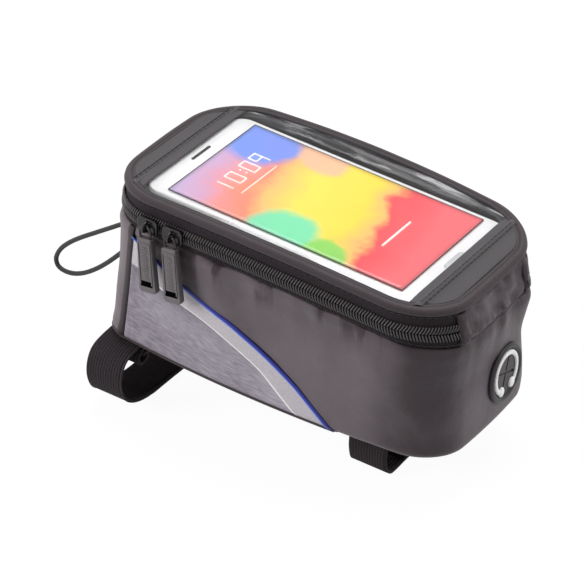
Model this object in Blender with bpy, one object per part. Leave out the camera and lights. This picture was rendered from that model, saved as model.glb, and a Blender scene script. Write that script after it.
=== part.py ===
"""Bike phone bag: a padded top-tube bag with a zipped lid and a clear phone pocket.

Frame: +X runs to the rear end (hinge and audio port), -Y is the near side, +Z is up.
The origin lies in the middle of the flat underside, where the bag sits on the tube.
"""
import math

import bmesh
import bpy
from mathutils import Matrix, Vector

MM = 0.001

# Fit between pieces that touch
GAP = 0.3 * MM

# Plan of the bag at the underside and at the lid seam
BASE_HALF_LENGTH = 96.0 * MM
BASE_HALF_WIDTH = 48.5 * MM
BASE_SIDE_BOW = 6.0 * MM
BASE_FRONT_CORNER = 11.5 * MM
BASE_REAR_CORNER = 22.0 * MM
TOP_HALF_LENGTH = 90.5 * MM
TOP_HALF_WIDTH = 51.0 * MM
TOP_SIDE_BOW = 2.8 * MM
TOP_CORNER = 27.5 * MM
END_BOW = 2.5 * MM

# Side view: the lid seam falls to the rear and is crowned
SEAM_HEIGHT = 86.0 * MM
SEAM_FALL = 0.039
SEAM_CROWN = 4.5 * MM
BOTTOM_ROLL = 5.0 * MM
BELLY = 3.0 * MM
BELLY_FROM = 34.0 * MM
BELLY_TO = 78.0 * MM

# Layers of the wall, from outside to inside
SKIN = 0.9 * MM
FOAM = 2.4 * MM
CLOTH = 0.6 * MM
BOARD = 1.6 * MM
BOARD_MARGIN = 0.7 * MM
FOOT_TUCK = 0.9 * MM
FOOT_RISE = 0.6 * MM

# Heights below the lid seam
SPLIT_DROP = 9.6 * MM
TEETH_HEIGHT = 3.2 * MM
TEETH_GAP = 1.6 * MM
TEETH_OUT = 1.2 * MM
TEETH_IN = 1.6 * MM
WALL_DROP = 16.7 * MM
TAPE = 0.6 * MM

# Lid
BINDING_HEIGHT = 3.9 * MM
BINDING_OUT = 1.2 * MM
BINDING_IN = 4.0 * MM
BINDING_SHARES = ((0.0, 0.8), (0.35, 1.0), (0.8, 0.5), (1.0, -0.35), (0.8, -0.9), (0.3, -1.0), (0.0, -0.9))
LID_TOP_RISE = 3.0 * MM
PANEL = 0.8 * MM
FILM = 0.5 * MM
SKIN_CLEARANCE = 0.7 * MM
SKIN_SLOPE = 6.0 * MM
SKIN_COLUMNS = 12
WINDOW_STEPS = 10
PANEL_STEPS = 5
PANEL_PLACE = 1.97
SEAM_PLACE = 0.012
POCKET_WALL_IN = 6.4 * MM
POCKET_CLOTH = 0.8 * MM
POCKET_RISE = 1.0 * MM

# Phone, with the room left for it inside the lid's edge
PHONE_END_ROOM = 15.0 * MM
PHONE_SIDE_ROOM = 11.5 * MM
PHONE_DROP = 0.4 * MM
PHONE_LENGTH = 2 * (TOP_HALF_LENGTH - PHONE_END_ROOM)
PHONE_WIDTH = 2 * (TOP_HALF_WIDTH - PHONE_SIDE_ROOM)
PHONE_TOP = SEAM_HEIGHT - PHONE_DROP
PHONE_THICKNESS = 8.3 * MM
PHONE_CORNER = 9.0 * MM
PHONE_X = 1.0 * MM
SCREEN_END_ROOM = 12.5 * MM
SCREEN_SIDE_ROOM = 4.0 * MM
SCREEN_LENGTH = PHONE_LENGTH - 2 * SCREEN_END_ROOM
SCREEN_WIDTH = PHONE_WIDTH - 2 * SCREEN_SIDE_ROOM
SCREEN_THICKNESS = 0.6 * MM
SCREEN_CORNER = 1.0 * MM
PLATE_STEPS = 4

# Ends of the clear window, measured from the ends of the phone
WINDOW_BEYOND = 1.5 * MM
WINDOW_SHORT = 1.5 * MM
WINDOW_FRONT = PHONE_X - PHONE_LENGTH / 2 - WINDOW_BEYOND
WINDOW_REAR = PHONE_X + PHONE_LENGTH / 2 - WINDOW_SHORT

# Zip ends and hinge strip at the rear end, measured across the bag
TAB_WIDTH = 6.0 * MM
TAB_THICKNESS = 1.6 * MM
TAB_PLACE = 29.0 * MM
STRIP_THICKNESS = 1.0 * MM
STRIP_LAP = 2.0 * MM
STRIP_STEPS = 8
TAB_FOOT = 0.6 * MM
TAB_HEAD = 1.0 * MM

# Piping on the long sides: height above the underside and place along the bag
PIPING_LINE = (
    (0.0, 41.0), (10.0, 30.5), (22.0, 15.0), (38.0, -15.0), (46.0, -36.0), (54.0, -55.0), (64.0, -75.0),
)
STRIPE_LINE = (
    (0.0, 22.5), (12.5, 8.0), (21.0, -3.0), (33.0, -29.5), (37.0, -42.0), (41.0, -57.0), (48.5, -75.2),
)
PIPING_WIDTH = 3.0 * MM
PIPING_PROUD = 1.0 * MM
STRIPE_CLOTH = 0.7 * MM
BINDING_LINE = ((0.0, -83.0), (64.0, -75.0))
BINDING_WIDTH = 4.2 * MM

# Sliders and pulls
SLIDER_FRONT_X = -63.3 * MM
SLIDER_REAR_X = -48.8 * MM
SLIDER_LENGTH = 11.5 * MM
SLIDER_HEIGHT = 8.0 * MM
SLIDER_PLATE = 1.5 * MM
SLIDER_POST = 0.5 * MM
SLIDER_CLEARANCE = 0.8 * MM
SLIDER_INNER_CLEARANCE = 1.6 * MM
BAIL_WIDTH = 2.4 * MM
BAIL_BAR = 1.2 * MM
BAIL_HOLE_HEIGHT = 3.4 * MM
BAIL_HOLE_DEPTH = 2.8 * MM
BAIL_ROOT = 0.4 * MM
EYE_BAR = 1.1 * MM
EYE_WIDTH = 7.4 * MM
EYE_DROP = 6.0 * MM
PULL_LENGTH = 27.0 * MM
PULL_TOP_WIDTH = 8.0 * MM
PULL_END_WIDTH = 10.0 * MM
PULL_THICKNESS = 3.4 * MM
PULL_BEVEL = 1.0 * MM
PULL_SLOT_WIDTH = 6.4 * MM
PULL_SLOT_HEIGHT = 2.4 * MM
PULL_SLOT_EDGE = 3.4 * MM
PULL_TILT = math.radians(9.0)
PULL_LEAN = math.radians(4.0)

# Audio port on the rear end
PORT_Y = 11.5 * MM
PORT_Z = 25.0 * MM
PORT_RADIUS = 14.6 * MM
PORT_BEAD = 3.0 * MM
PORT_PROUD = 2.2 * MM
PORT_SEAT = 0.5 * MM
PORT_NECK = 11.2 * MM
PORT_NECK_WALL = 1.2 * MM
PORT_FIT = 0.5 * MM
PORT_FACE = 1.2 * MM
PORT_DRAFT = 0.4 * MM
PORT_ROUND = 0.8 * MM
PORT_MEMBRANE = 1.0 * MM
PORT_SLIT = 0.5 * MM
PORT_SLIT_LENGTH = 16.0 * MM
PORT_SLIT_TURNS = (70, 160)
PORT_CUT_DEPTH = 24.0 * MM
SLIT_CUT_DEPTH = 8.0 * MM
MARK_RADIUS = 10.3 * MM
MARK_START = math.radians(-62)
MARK_SWEEP = math.radians(304)
MARK_STEPS = 22
MARK_WIDTH = 1.8 * MM
MARK_THICKNESS = 0.6 * MM
MARK_PAD_SHARE = 0.07
MARK_OUTER = 0.6
MARK_PAD = 2.2 * MM

# Straps
STRAP_WIDTH = 20.0 * MM
STRAP_CLOTH = 1.6 * MM
STRAP_FRONT_INSET = 13.0 * MM
STRAP_FRONT_X = STRAP_FRONT_INSET - BASE_HALF_LENGTH
STRAP_REAR_X = 49.0 * MM

# Middle line of each strap half in the YZ plane, from its seam under the bag, in millimetres
FRONT_NEAR_LINE = (
    (-12, -1.1), (-30, -1.1), (-45, -2.2), (-52.5, -5), (-55.8, -11), (-55.6, -19), (-51.5, -27),
    (-43, -32.5), (-31, -35.2), (-16, -36), (14, -36),
)
FRONT_FAR_LINE = (
    (12, -1.1), (27, -1.1), (33, -4.5), (36, -13), (33.5, -24), (26, -31.5), (16, -33.8),
)
REAR_NEAR_LINE = (
    (-6, -1.1), (-22, -1.1), (-28, -3.5), (-30.3, -11), (-30.2, -19), (-27, -25.5), (-18, -27.8),
    (16, -27.8),
)
REAR_FAR_LINE = (
    (6, -1.1), (22, -1.1), (28, -3.5), (30.3, -10), (29.6, -18), (25, -24.2), (17, -25.9), (-14, -25.9),
)

# Cord loop at the front end, along its middle line
CORD_DIAMETER = 2.4 * MM
CORD_Y = -12.0 * MM
CORD_LINE = (
    (-95.8, 43.7), (-98.6, 43.3), (-103.4, 41.0), (-111.2, 35.6), (-120.2, 29.3), (-128.6, 23.4),
    (-136.0, 17.6), (-142.0, 11.3), (-145.0, 5.0), (-144.0, 0.6), (-140.2, -1.0), (-135.2, -0.6),
    (-130.2, 1.3), (-124.8, 4.6), (-118.4, 9.8), (-112.2, 15.9), (-106.4, 22.3), (-101.6, 27.4),
    (-99.0, 29.6), (-96.6, 30.2),
)
CORD_STEPS = 3
PATCH_THICKNESS = 2.0 * MM
PATCH_LOW = 25.5 * MM
PATCH_HIGH = 49.0 * MM
PATCH_WIDTH = 15.0 * MM

# Fineness of the outline: pieces of a straight and of a corner
STRAIGHT_STEPS = 4
CORNER_STEPS = 6
SIDE_STEPS = 9

# The outline is counted in pieces: straights, corners and ends, starting mid near side
PIECES = 10

# Rows of the wall: rolled lower edge first, then shares of the wall's height
ROLL_ROWS = 4
ROW_SHARES = (0.16, 0.28, 0.40, 0.50, 0.60, 0.70, 0.80, 0.905, 1.0)
INNER_TOP_SHARE = 0.985
LAST_ROW = ROLL_ROWS + len(ROW_SHARES) - 1
GREY_TOP_ROW = LAST_ROW - 3


def clear_scene():
    """Remove what the scene holds."""
    for item in list(bpy.data.objects):
        bpy.data.objects.remove(item, do_unlink=True)


def material(name, color, roughness, metallic=0.0):
    """A plain Principled material."""
    found = bpy.data.materials.get(name)
    if found:
        return found
    made = bpy.data.materials.new(name)
    made.use_nodes = True
    shader = made.node_tree.nodes["Principled BSDF"]
    shader.inputs["Base Color"].default_value = (*color, 1.0)
    shader.inputs["Roughness"].default_value = roughness
    shader.inputs["Metallic"].default_value = metallic
    return made


def black_fabric():
    return material("black_fabric", (0.075, 0.065, 0.072), 0.55)


def webbing():
    return material("webbing", (0.018, 0.017, 0.018), 0.85)


def grey_fabric():
    return material("grey_fabric", (0.30, 0.27, 0.32), 0.8)


def silver_fabric():
    return material("silver_fabric", (0.55, 0.52, 0.55), 0.5)


def blue_fabric():
    return material("blue_fabric", (0.01, 0.02, 0.45), 0.6)


def inner_cloth():
    return material("inner_cloth", (0.04, 0.04, 0.045), 0.9)


def foam():
    return material("foam", (0.10, 0.10, 0.10), 0.95)


def black_plastic():
    return material("black_plastic", (0.03, 0.03, 0.032), 0.45)


def slider_metal():
    return material("slider_metal", (0.09, 0.09, 0.095), 0.35, 0.8)


def black_rubber():
    return material("black_rubber", (0.015, 0.015, 0.015), 0.7)


def white_rubber():
    return material("white_rubber", (0.85, 0.85, 0.85), 0.6)


def clear_film():
    return material("clear_film", (0.8, 0.82, 0.84), 0.1)


def white_plastic():
    return material("white_plastic", (0.85, 0.86, 0.87), 0.3)


def screen_glass():
    return material("screen_glass", (0.95, 0.75, 0.15), 0.1)


def plan(height):
    """Half length, half width, side bow, front corner and rear corner at a height."""
    share = height / SEAM_HEIGHT
    half_length = BASE_HALF_LENGTH + (TOP_HALF_LENGTH - BASE_HALF_LENGTH) * share
    half_width = BASE_HALF_WIDTH + (TOP_HALF_WIDTH - BASE_HALF_WIDTH) * share
    bow = BASE_SIDE_BOW + (TOP_SIDE_BOW - BASE_SIDE_BOW) * share
    front = BASE_FRONT_CORNER + (TOP_CORNER - BASE_FRONT_CORNER) * share
    rear = BASE_REAR_CORNER + (TOP_CORNER - BASE_REAR_CORNER) * share
    return half_length, half_width, bow, front, rear


def belly(height):
    """How far the rear end swells out at a height."""
    share = (height - BELLY_FROM) / (BELLY_TO - BELLY_FROM)
    if share <= 0.0 or share >= 1.0:
        return 0.0
    return BELLY * math.sin(math.pi * share) ** 2


def outline(t, height):
    """Plan point at outline place t: 0 mid near side, 2 to 3 rear end, 5 mid far side, 7 to 8 front end."""
    half_length, half_width, bow, front, rear = plan(height)
    t = t % PIECES
    mirrored = t > PIECES / 2
    walk = PIECES - t if mirrored else t
    at_rear = not mirrored
    corner = rear if at_rear else front
    piece = min(int(walk), 4)
    part = walk - piece
    straight = half_length - corner
    side = half_width - corner
    angle = part * math.pi / 2
    if piece == 0:
        x, y = straight * part, -half_width
    elif piece == 1:
        x, y = straight + corner * math.sin(angle), -side - corner * math.cos(angle)
    elif piece == 2:
        x, y = half_length, -side + 2 * side * part
    elif piece == 3:
        x, y = straight + corner * math.cos(angle), side + corner * math.sin(angle)
    else:
        x, y = straight * (1 - part), half_width
    bowed_y = y * (1 - bow / half_width * (x / half_length) ** 2)
    bowed_x = x * (1 - END_BOW / half_length * (y / half_width) ** 2)
    if at_rear:
        swell = max(0.0, x - straight) / corner
        bowed_x += belly(height) * swell ** 2
        return bowed_x, bowed_y
    return -bowed_x, bowed_y


def wall_point(t, height, out=0.0):
    """Point on the wall surface, moved outward by out."""
    step = 0.004
    x0, y0 = outline(t - step, height)
    x1, y1 = outline(t + step, height)
    x, y = outline(t, height)
    normal = Vector((y1 - y0, x0 - x1, 0.0)).normalized()
    return Vector((x, y, height)) + normal * out


def seam_height(x):
    """Height of the lid seam at a place along the bag."""
    return SEAM_HEIGHT - SEAM_FALL * x - SEAM_CROWN * (x / TOP_HALF_LENGTH) ** 2


def seam_point(t, drop, out=0.0):
    """Point on the wall surface at a distance below the lid seam."""
    x = outline(t, SEAM_HEIGHT - drop)[0]
    return wall_point(t, seam_height(x) - drop, out)


def near_place(x, height):
    """Outline place of a position along the near side, corners included."""
    half_length, half_width, bow, front, rear = plan(height)
    corner = rear if x > 0 else front
    straight = half_length - corner
    if abs(x) <= straight:
        return x / straight
    angle = math.asin(min(1.0, (abs(x) - straight) / corner))
    return math.copysign(1 + 2 * angle / math.pi, x)


def line_at(line, height):
    """Position along the bag of a line drawn on the side, given in millimetres."""
    z = height / MM
    for (z0, x0), (z1, x1) in zip(line, line[1:]):
        if z <= z1:
            return (x0 + (x1 - x0) * (z - z0) / (z1 - z0)) * MM
    (z0, x0), (z1, x1) = line[-2:]
    return (x0 + (x1 - x0) * (z - z0) / (z1 - z0)) * MM


def places(start, stop):
    """Outline places from start to stop, with a point at each join of its pieces."""
    found = [start]
    piece = math.floor(start)
    while piece < stop:
        round_piece = piece % PIECES in (1, 3, 6, 8)
        steps = CORNER_STEPS if round_piece else STRAIGHT_STEPS
        for step in range(1, steps + 1):
            t = piece + step / steps
            if start + 0.02 < t < stop - 0.02:
                found.append(t)
        piece += 1
    found.append(stop)
    return found


def ring():
    """Outline places once round, without the last one."""
    return places(0.0, float(PIECES))[:-1]


def finish(name, bm, surface, smooth=True):
    """Put a bmesh into a named object."""
    mesh = bpy.data.meshes.new(name)
    bm.to_mesh(mesh)
    bm.free()
    made = bpy.data.objects.new(name, mesh)
    bpy.context.scene.collection.objects.link(made)
    mesh.materials.append(surface)
    if smooth:
        mesh.shade_smooth()
        mesh.set_sharp_from_angle(angle=math.radians(40))
    return made


def thicken(made, thickness, offset=-1.0):
    """Give a sheet its thickness; it grows inward from the drawn surface."""
    solid = made.modifiers.new("thickness", "SOLIDIFY")
    solid.thickness = thickness
    solid.offset = offset
    solid.use_even_offset = True
    return made


def grid(name, rows, surface, closed=False):
    """Open sheet through rows of points; a closed sheet joins the ends of each row."""
    bm = bmesh.new()
    lines = [[bm.verts.new(point) for point in row] for row in rows]
    count = len(rows[0])
    spans = count if closed else count - 1
    for low, high in zip(lines, lines[1:]):
        for i in range(spans):
            j = (i + 1) % count
            bm.faces.new((low[i], low[j], high[j], high[i]))
    return finish(name, bm, surface)


def sweep(name, sections, surface, closed=False):
    """Solid through a row of section outlines; an open one has end caps."""
    bm = bmesh.new()
    loops = [[bm.verts.new(point) for point in section] for section in sections]
    count = len(sections[0])
    pairs = list(zip(loops, loops[1:]))
    if closed:
        pairs.append((loops[-1], loops[0]))
    for first, second in pairs:
        for i in range(count):
            j = (i + 1) % count
            bm.faces.new((first[i], first[j], second[j], second[i]))
    if not closed:
        bm.faces.new(loops[0])
        bm.faces.new(loops[-1])
    bmesh.ops.recalc_face_normals(bm, faces=bm.faces)
    return finish(name, bm, surface)


def prism(name, points, depth, surface):
    """Solid from a flat outline, pushed along a vector."""
    bm = bmesh.new()
    face = bm.faces.new([bm.verts.new(point) for point in points])
    grown = bmesh.ops.extrude_face_region(bm, geom=[face])
    verts = [item for item in grown["geom"] if isinstance(item, bmesh.types.BMVert)]
    bmesh.ops.translate(bm, verts=verts, vec=depth)
    bmesh.ops.recalc_face_normals(bm, faces=bm.faces)
    return finish(name, bm, surface, smooth=False)


def boolean(made, other, operation):
    """Join or cut with another object, which stays as a hidden guide."""
    cut = made.modifiers.new(operation.lower(), "BOOLEAN")
    cut.operation = operation
    cut.object = other
    cut.solver = "EXACT"
    other.hide_render = True
    other.display_type = "WIRE"
    return made


def place_on(made, empty):
    """Parent an object to an empty without moving it."""
    made.parent = empty
    made.matrix_parent_inverse = empty.matrix_world.inverted()
    return made


def joint_empty(name, location):
    """Empty on a joint's axis."""
    empty = bpy.data.objects.new(name, None)
    empty.location = location
    bpy.context.scene.collection.objects.link(empty)
    bpy.context.view_layer.update()
    return empty


def row_level(row, x):
    """Height and inset of a wall row: the lower rows follow the rolled edge, the others the lid seam."""
    if row < ROLL_ROWS:
        angle = math.radians(90 - 30 * row)
        return BOTTOM_ROLL * (1 - math.sin(angle)), BOTTOM_ROLL * (1 - math.cos(angle))
    return wall_top(x) * ROW_SHARES[row - ROLL_ROWS], 0.0


def wall_top(x):
    """Height of the wall's upper edge at a place along the bag."""
    return seam_height(x) - WALL_DROP


def row_point(row, t, out=0.0):
    """Point of a wall row at an outline place."""
    height, inset = row_level(row, outline(t, SEAM_HEIGHT / 2)[0])
    return wall_point(t, height, out - inset)


def wall_row(places_round, share, out):
    """Row at a share of the wall's height."""
    row = []
    for t in places_round:
        height = wall_top(outline(t, SEAM_HEIGHT / 2)[0]) * share
        row.append(wall_point(t, height, out))
    return row


def edge_place(line, row, shift=0.0):
    """Outline place, on the near side, of a drawn line at a wall row."""
    height = row_level(row, 0.0)[0]
    for _ in range(3):
        t = near_place(line_at(line, height) + shift, height)
        height = row_level(row, outline(t, SEAM_HEIGHT / 2)[0])[0]
    return t


def between(start, stop, steps):
    """Evenly spaced places between two outline places."""
    return [start + (stop - start) * step / steps for step in range(steps + 1)]


def eased(start, stop, steps):
    """Places between two outline places, closest together at the start."""
    return [start + (stop - start) * (step / steps) ** 1.5 for step in range(steps + 1)]


def flipped(points):
    """The same points on the far side."""
    return [Vector((point.x, -point.y, point.z)) for point in points]


def both_sides(name, rows, surface, thickness):
    """A patch on the near side and its mirror image on the far side."""
    thicken(grid(name + "_near", rows, surface), thickness)
    far = [flipped(reversed(row)) for row in rows]
    thicken(grid(name + "_far", far, surface), thickness)


def side_patch(left, right, rows, steps):
    """Rows of a near side patch between two edges, each given as a function of the row."""
    return [[row_point(row, t) for t in between(left(row), right(row), steps)] for row in rows]


def black_start(row):
    """Where the black side wall begins on the near side."""
    if row < LAST_ROW:
        return edge_place(PIPING_LINE, row, PIPING_WIDTH / 2 + GAP)
    return edge_place(BINDING_LINE, row, GAP)


def side_wall():
    """Black wall from the near piping round the rear end to the far piping."""
    rows = []
    for row in range(LAST_ROW + 1):
        half = eased(black_start(row), 1.0, SIDE_STEPS)[:-1]
        half += [1 + step / CORNER_STEPS for step in range(CORNER_STEPS + 1)] + [2.25]
        near = [row_point(row, t) for t in half]
        rows.append(near + [row_point(row, 2.5)] + flipped(reversed(near)))
    made = thicken(grid("side_wall", rows, black_fabric()), SKIN)
    return boolean(made, port_hole(), "DIFFERENCE")


def grey_panels():
    """Grey woven panels below the stripes."""
    rows = side_patch(
        lambda row: edge_place(BINDING_LINE, row, GAP),
        lambda row: edge_place(STRIPE_LINE, row, -GAP),
        range(1, GREY_TOP_ROW + 1), 6)
    both_sides("grey_panel", rows, grey_fabric(), SKIN)


def stripe_left(row):
    """Left edge of the stripe: its lower line, and above that the corner binding."""
    if row <= GREY_TOP_ROW:
        return edge_place(STRIPE_LINE, row)
    return edge_place(BINDING_LINE, row, GAP)


def stripes():
    """Pale stripes between grey panel and piping."""
    rows = side_patch(
        stripe_left,
        lambda row: edge_place(PIPING_LINE, row, -PIPING_WIDTH / 2 - GAP),
        range(1, LAST_ROW), 3)
    both_sides("stripe", rows, silver_fabric(), STRIPE_CLOTH)


def piping():
    """Blue piping: a flattened cord between stripe and black wall."""
    section_shape = ((-1, -0.5 * SKIN), (-0.9, 0.4 * PIPING_PROUD), (0, PIPING_PROUD),
                     (0.9, 0.4 * PIPING_PROUD), (1, -0.5 * SKIN))
    sections = []
    for row in range(1, LAST_ROW):
        section = []
        for side, out in section_shape:
            t = edge_place(PIPING_LINE, row, side * PIPING_WIDTH / 2)
            section.append(row_point(row, t, out))
        sections.append(section)
    sweep("piping_near", sections, blue_fabric())
    sweep("piping_far", [flipped(section) for section in sections], blue_fabric())


def binding_left(row):
    """Front edge of the corner binding, measured along the wall."""
    corner = plan(row_level(row, 0.0)[0])[3]
    return edge_place(BINDING_LINE, row) - 2 * BINDING_WIDTH / (math.pi * corner)


def corner_bindings():
    """Upright bindings over the front corners, where front panel and sides meet."""
    rows = side_patch(binding_left, lambda row: edge_place(BINDING_LINE, row), range(1, LAST_ROW + 1), 3)
    both_sides("edge_binding", rows, black_fabric(), SKIN)


def front_panel():
    """Black wall of the front end, between the two corner bindings."""
    rows = []
    for row in range(LAST_ROW + 1):
        corner = plan(row_level(row, 0.0)[0])[3]
        near_end = binding_left(max(row, 1)) - 2 * GAP / (math.pi * corner)
        near = [row_point(row, t) for t in between(-2.5, near_end, 9)]
        rows.append(flipped(reversed(near[1:])) + near)
    thicken(grid("front_panel", rows, black_fabric()), SKIN)


def wall_padding():
    """Foam between wall and lining, all the way round."""
    out = -SKIN - GAP
    foot = base_stack_top() + GAP
    rows = [ring_row(foot, out - FOOT_TUCK), ring_row(BOTTOM_ROLL + FOOT_RISE, out)]
    rows += [wall_row(ring(), share, out) for share in (*ROW_SHARES[:-1], INNER_TOP_SHARE)]
    made = thicken(grid("wall_padding", rows, foam(), closed=True), FOAM)
    return boolean(made, port_hole(), "DIFFERENCE")


def wall_lining():
    """Inner cloth of the wall, all the way round."""
    out = -SKIN - FOAM - 2 * GAP
    foot = base_stack_top() + CLOTH + 2 * GAP
    rows = [ring_row(foot, out - FOOT_TUCK), ring_row(BOTTOM_ROLL + FOOT_RISE, out)]
    rows += [wall_row(ring(), share, out) for share in (*ROW_SHARES[:-1], INNER_TOP_SHARE)]
    made = thicken(grid("wall_lining", rows, inner_cloth(), closed=True), CLOTH)
    return boolean(made, port_hole(), "DIFFERENCE")


def ring_row(height, out):
    """A level row all the way round."""
    return [wall_point(t, height, out) for t in ring()]


def flat_plate(name, height, inset, thickness, surface):
    """Level plate that fills the outline, moved in by an inset."""
    points = ring_row(height, -inset)
    return prism(name, points, Vector((0, 0, thickness)), surface)


def base_stack_top():
    """Top of the stiff board in the floor."""
    return SKIN + GAP + BOARD


def floor_pieces():
    """Underside cloth, stiff board and floor lining, from the bottom up."""
    flat_plate("base_panel", 0.0, BOTTOM_ROLL + GAP, SKIN, black_fabric())
    flat_plate("base_board", SKIN + GAP, BOTTOM_ROLL - BOARD_MARGIN, BOARD, black_plastic())
    inset = SKIN + FOAM + 2 * GAP + FOOT_TUCK
    flat_plate("floor_lining", base_stack_top() + GAP, inset, CLOTH, inner_cloth())


def zip_places():
    """Outline places along the zip, from its far end round the front to its near end."""
    stop = end_place(-TAB_PLACE)
    return places(-PIECES / 2 - stop, stop)


def band(name, low_drop, high_drop, inner, outer, surface):
    """Solid band along the zip with a rectangular section."""
    corners = ((low_drop, outer), (high_drop, outer), (high_drop, inner), (low_drop, inner))
    sections = [[seam_point(t, drop, out) for drop, out in corners] for t in zip_places()]
    return sweep(name, sections, surface)


def zip_pieces():
    """Tapes and teeth of both halves of the zip."""
    half_gap = TEETH_GAP / 2
    far = half_gap + TEETH_HEIGHT
    tape_out = -GAP
    tape_in = -GAP - TAPE
    teeth = black_plastic()
    band("upper_zip_tape", SPLIT_DROP - far - GAP, GAP, tape_in, tape_out, webbing())
    band("upper_teeth", SPLIT_DROP - half_gap, SPLIT_DROP - far, -TEETH_IN, TEETH_OUT, teeth)
    band("lower_teeth", SPLIT_DROP + far, SPLIT_DROP + half_gap, -TEETH_IN, TEETH_OUT, teeth)
    band("lower_zip_tape", WALL_DROP - GAP, SPLIT_DROP + far + GAP, tape_in, tape_out, webbing())


def end_place(y):
    """Outline place on the rear end at a distance across the bag, below the lid seam."""
    half_length, half_width, bow, front, rear = plan(SEAM_HEIGHT - SPLIT_DROP)
    side = half_width - rear
    if abs(y) <= side:
        return 2.5 + y / (2 * side)
    angle = math.asin(min(1.0, (abs(y) - side) / rear))
    return 2.5 + math.copysign(0.5 + 2 * angle / math.pi, y)


def end_patch(name, start_y, stop_y, low_drop, high_drop, out, thickness, steps, surface):
    """Patch on the rear end that follows the lid seam."""
    drops = [low_drop + (high_drop - low_drop) * step / 4 for step in range(5)]
    row_places = between(end_place(start_y), end_place(stop_y), steps)
    rows = [[seam_point(t, drop, out) for t in row_places] for drop in drops]
    return thicken(grid(name, rows, surface), thickness)


def rear_end_pieces():
    """Hinge strip and the folded tabs over the ends of the zip."""
    inner = TAB_PLACE - TAB_WIDTH / 2
    outer = TAB_PLACE + TAB_WIDTH / 2
    tab_out = TEETH_OUT + GAP + TAB_THICKNESS
    low = WALL_DROP - TAB_FOOT
    half_strip = inner + STRIP_LAP
    end_patch("hinge_strip", -half_strip, half_strip, WALL_DROP - GAP, GAP, 0.0,
              STRIP_THICKNESS, STRIP_STEPS, black_fabric())
    end_patch("zip_tab_near", -outer, -inner, low, TAB_HEAD, tab_out, TAB_THICKNESS, 2, black_fabric())
    end_patch("zip_tab_far", inner, outer, low, TAB_HEAD, tab_out, TAB_THICKNESS, 2, black_fabric())


def lid_binding():
    """Rolled binding all round the lid."""
    profile = []
    for rise, reach in BINDING_SHARES:
        width = BINDING_OUT if reach > 0 else BINDING_IN
        profile.append((-rise * BINDING_HEIGHT, reach * width))
    sections = [[seam_point(t, drop, out) for drop, out in profile] for t in ring()]
    sweep("lid_binding", sections, webbing(), closed=True)


def phone_plane(x):
    """Height of the phone's face at a place along the bag."""
    return PHONE_TOP - SEAM_FALL * x


def lid_top(x, y):
    """Height of the lid's top skin: flat over the phone, rising to the binding beside it."""
    over_phone = phone_plane(x) + SKIN_CLEARANCE
    at_rim = seam_height(x) + LID_TOP_RISE
    share = (abs(y) - PHONE_WIDTH / 2) / SKIN_SLOPE
    share = min(max(share, 0.0), 1.0)
    share = share * share * (3 - 2 * share)
    if abs(x - PHONE_X) > PHONE_LENGTH / 2:
        share = 1.0
    return over_phone + (at_rim - over_phone) * share


def top_patch(name, start, stop, steps, thickness, surface):
    """Patch of the lid's top skin between two outline places, from near edge to far edge."""
    rows = []
    for step in range(SKIN_COLUMNS + 1):
        share = step / SKIN_COLUMNS
        row = []
        for t in between(start, stop, steps):
            near = seam_point(t, -LID_TOP_RISE, -BINDING_IN - GAP)
            y = near.y * (1 - 2 * share)
            row.append(Vector((near.x, y, lid_top(near.x, y))))
        rows.append(row)
    return thicken(grid(name, rows, surface), thickness)


def lid_skins():
    """Clear window and the fabric ends of the lid's top."""
    front = near_place(WINDOW_FRONT, SEAM_HEIGHT)
    rear = near_place(WINDOW_REAR, SEAM_HEIGHT)
    top_patch("clear_window", front, rear, WINDOW_STEPS, FILM, clear_film())
    top_patch("lid_panel_front", -PANEL_PLACE, front - SEAM_PLACE, PANEL_STEPS, PANEL, black_fabric())
    top_patch("lid_panel_rear", rear + SEAM_PLACE, PANEL_PLACE, PANEL_STEPS, PANEL, black_fabric())


def phone_pocket():
    """Cloth tray that hangs from the binding and holds the phone."""
    floor_drop = PHONE_THICKNESS + GAP + POCKET_CLOTH / 2
    bm = bmesh.new()
    rim = [bm.verts.new(seam_point(t, -POCKET_RISE, -BINDING_IN - GAP)) for t in ring()]
    fold = [bm.verts.new(seam_point(t, -POCKET_RISE, -POCKET_WALL_IN)) for t in ring()]
    foot = []
    for t in ring():
        point = seam_point(t, -POCKET_RISE, -POCKET_WALL_IN)
        foot.append(bm.verts.new((point.x, point.y, phone_plane(point.x) - floor_drop)))
    count = len(rim)
    for upper, lower in ((rim, fold), (fold, foot)):
        for i in range(count):
            j = (i + 1) % count
            bm.faces.new((upper[i], upper[j], lower[j], lower[i]))
    bm.faces.new(foot)
    return thicken(finish("phone_pocket", bm, inner_cloth()), POCKET_CLOTH, offset=0.0)


def rounded_plate(name, length, width, corner, low, high, surface):
    """Plate with round corners, level across and parallel to the phone's face along the bag."""
    points = []
    for centre_x, centre_y, turn in ((1, -1, -90), (1, 1, 0), (-1, 1, 90), (-1, -1, 180)):
        for step in range(PLATE_STEPS + 1):
            angle = math.radians(turn + 90 * step / PLATE_STEPS)
            x = PHONE_X + centre_x * (length / 2 - corner) + corner * math.cos(angle)
            y = centre_y * (width / 2 - corner) + corner * math.sin(angle)
            points.append(Vector((x, y, phone_plane(x) + low)))
    return prism(name, points, Vector((0, 0, high - low)), surface)


def phone():
    """Plain phone with its screen as a thin plate on the body."""
    top = -SCREEN_THICKNESS - GAP
    rounded_plate("phone_body", PHONE_LENGTH, PHONE_WIDTH, PHONE_CORNER, -PHONE_THICKNESS, top,
                  white_plastic())
    rounded_plate("phone_screen", SCREEN_LENGTH, SCREEN_WIDTH, SCREEN_CORNER, -SCREEN_THICKNESS, 0.0,
                  screen_glass())


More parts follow.
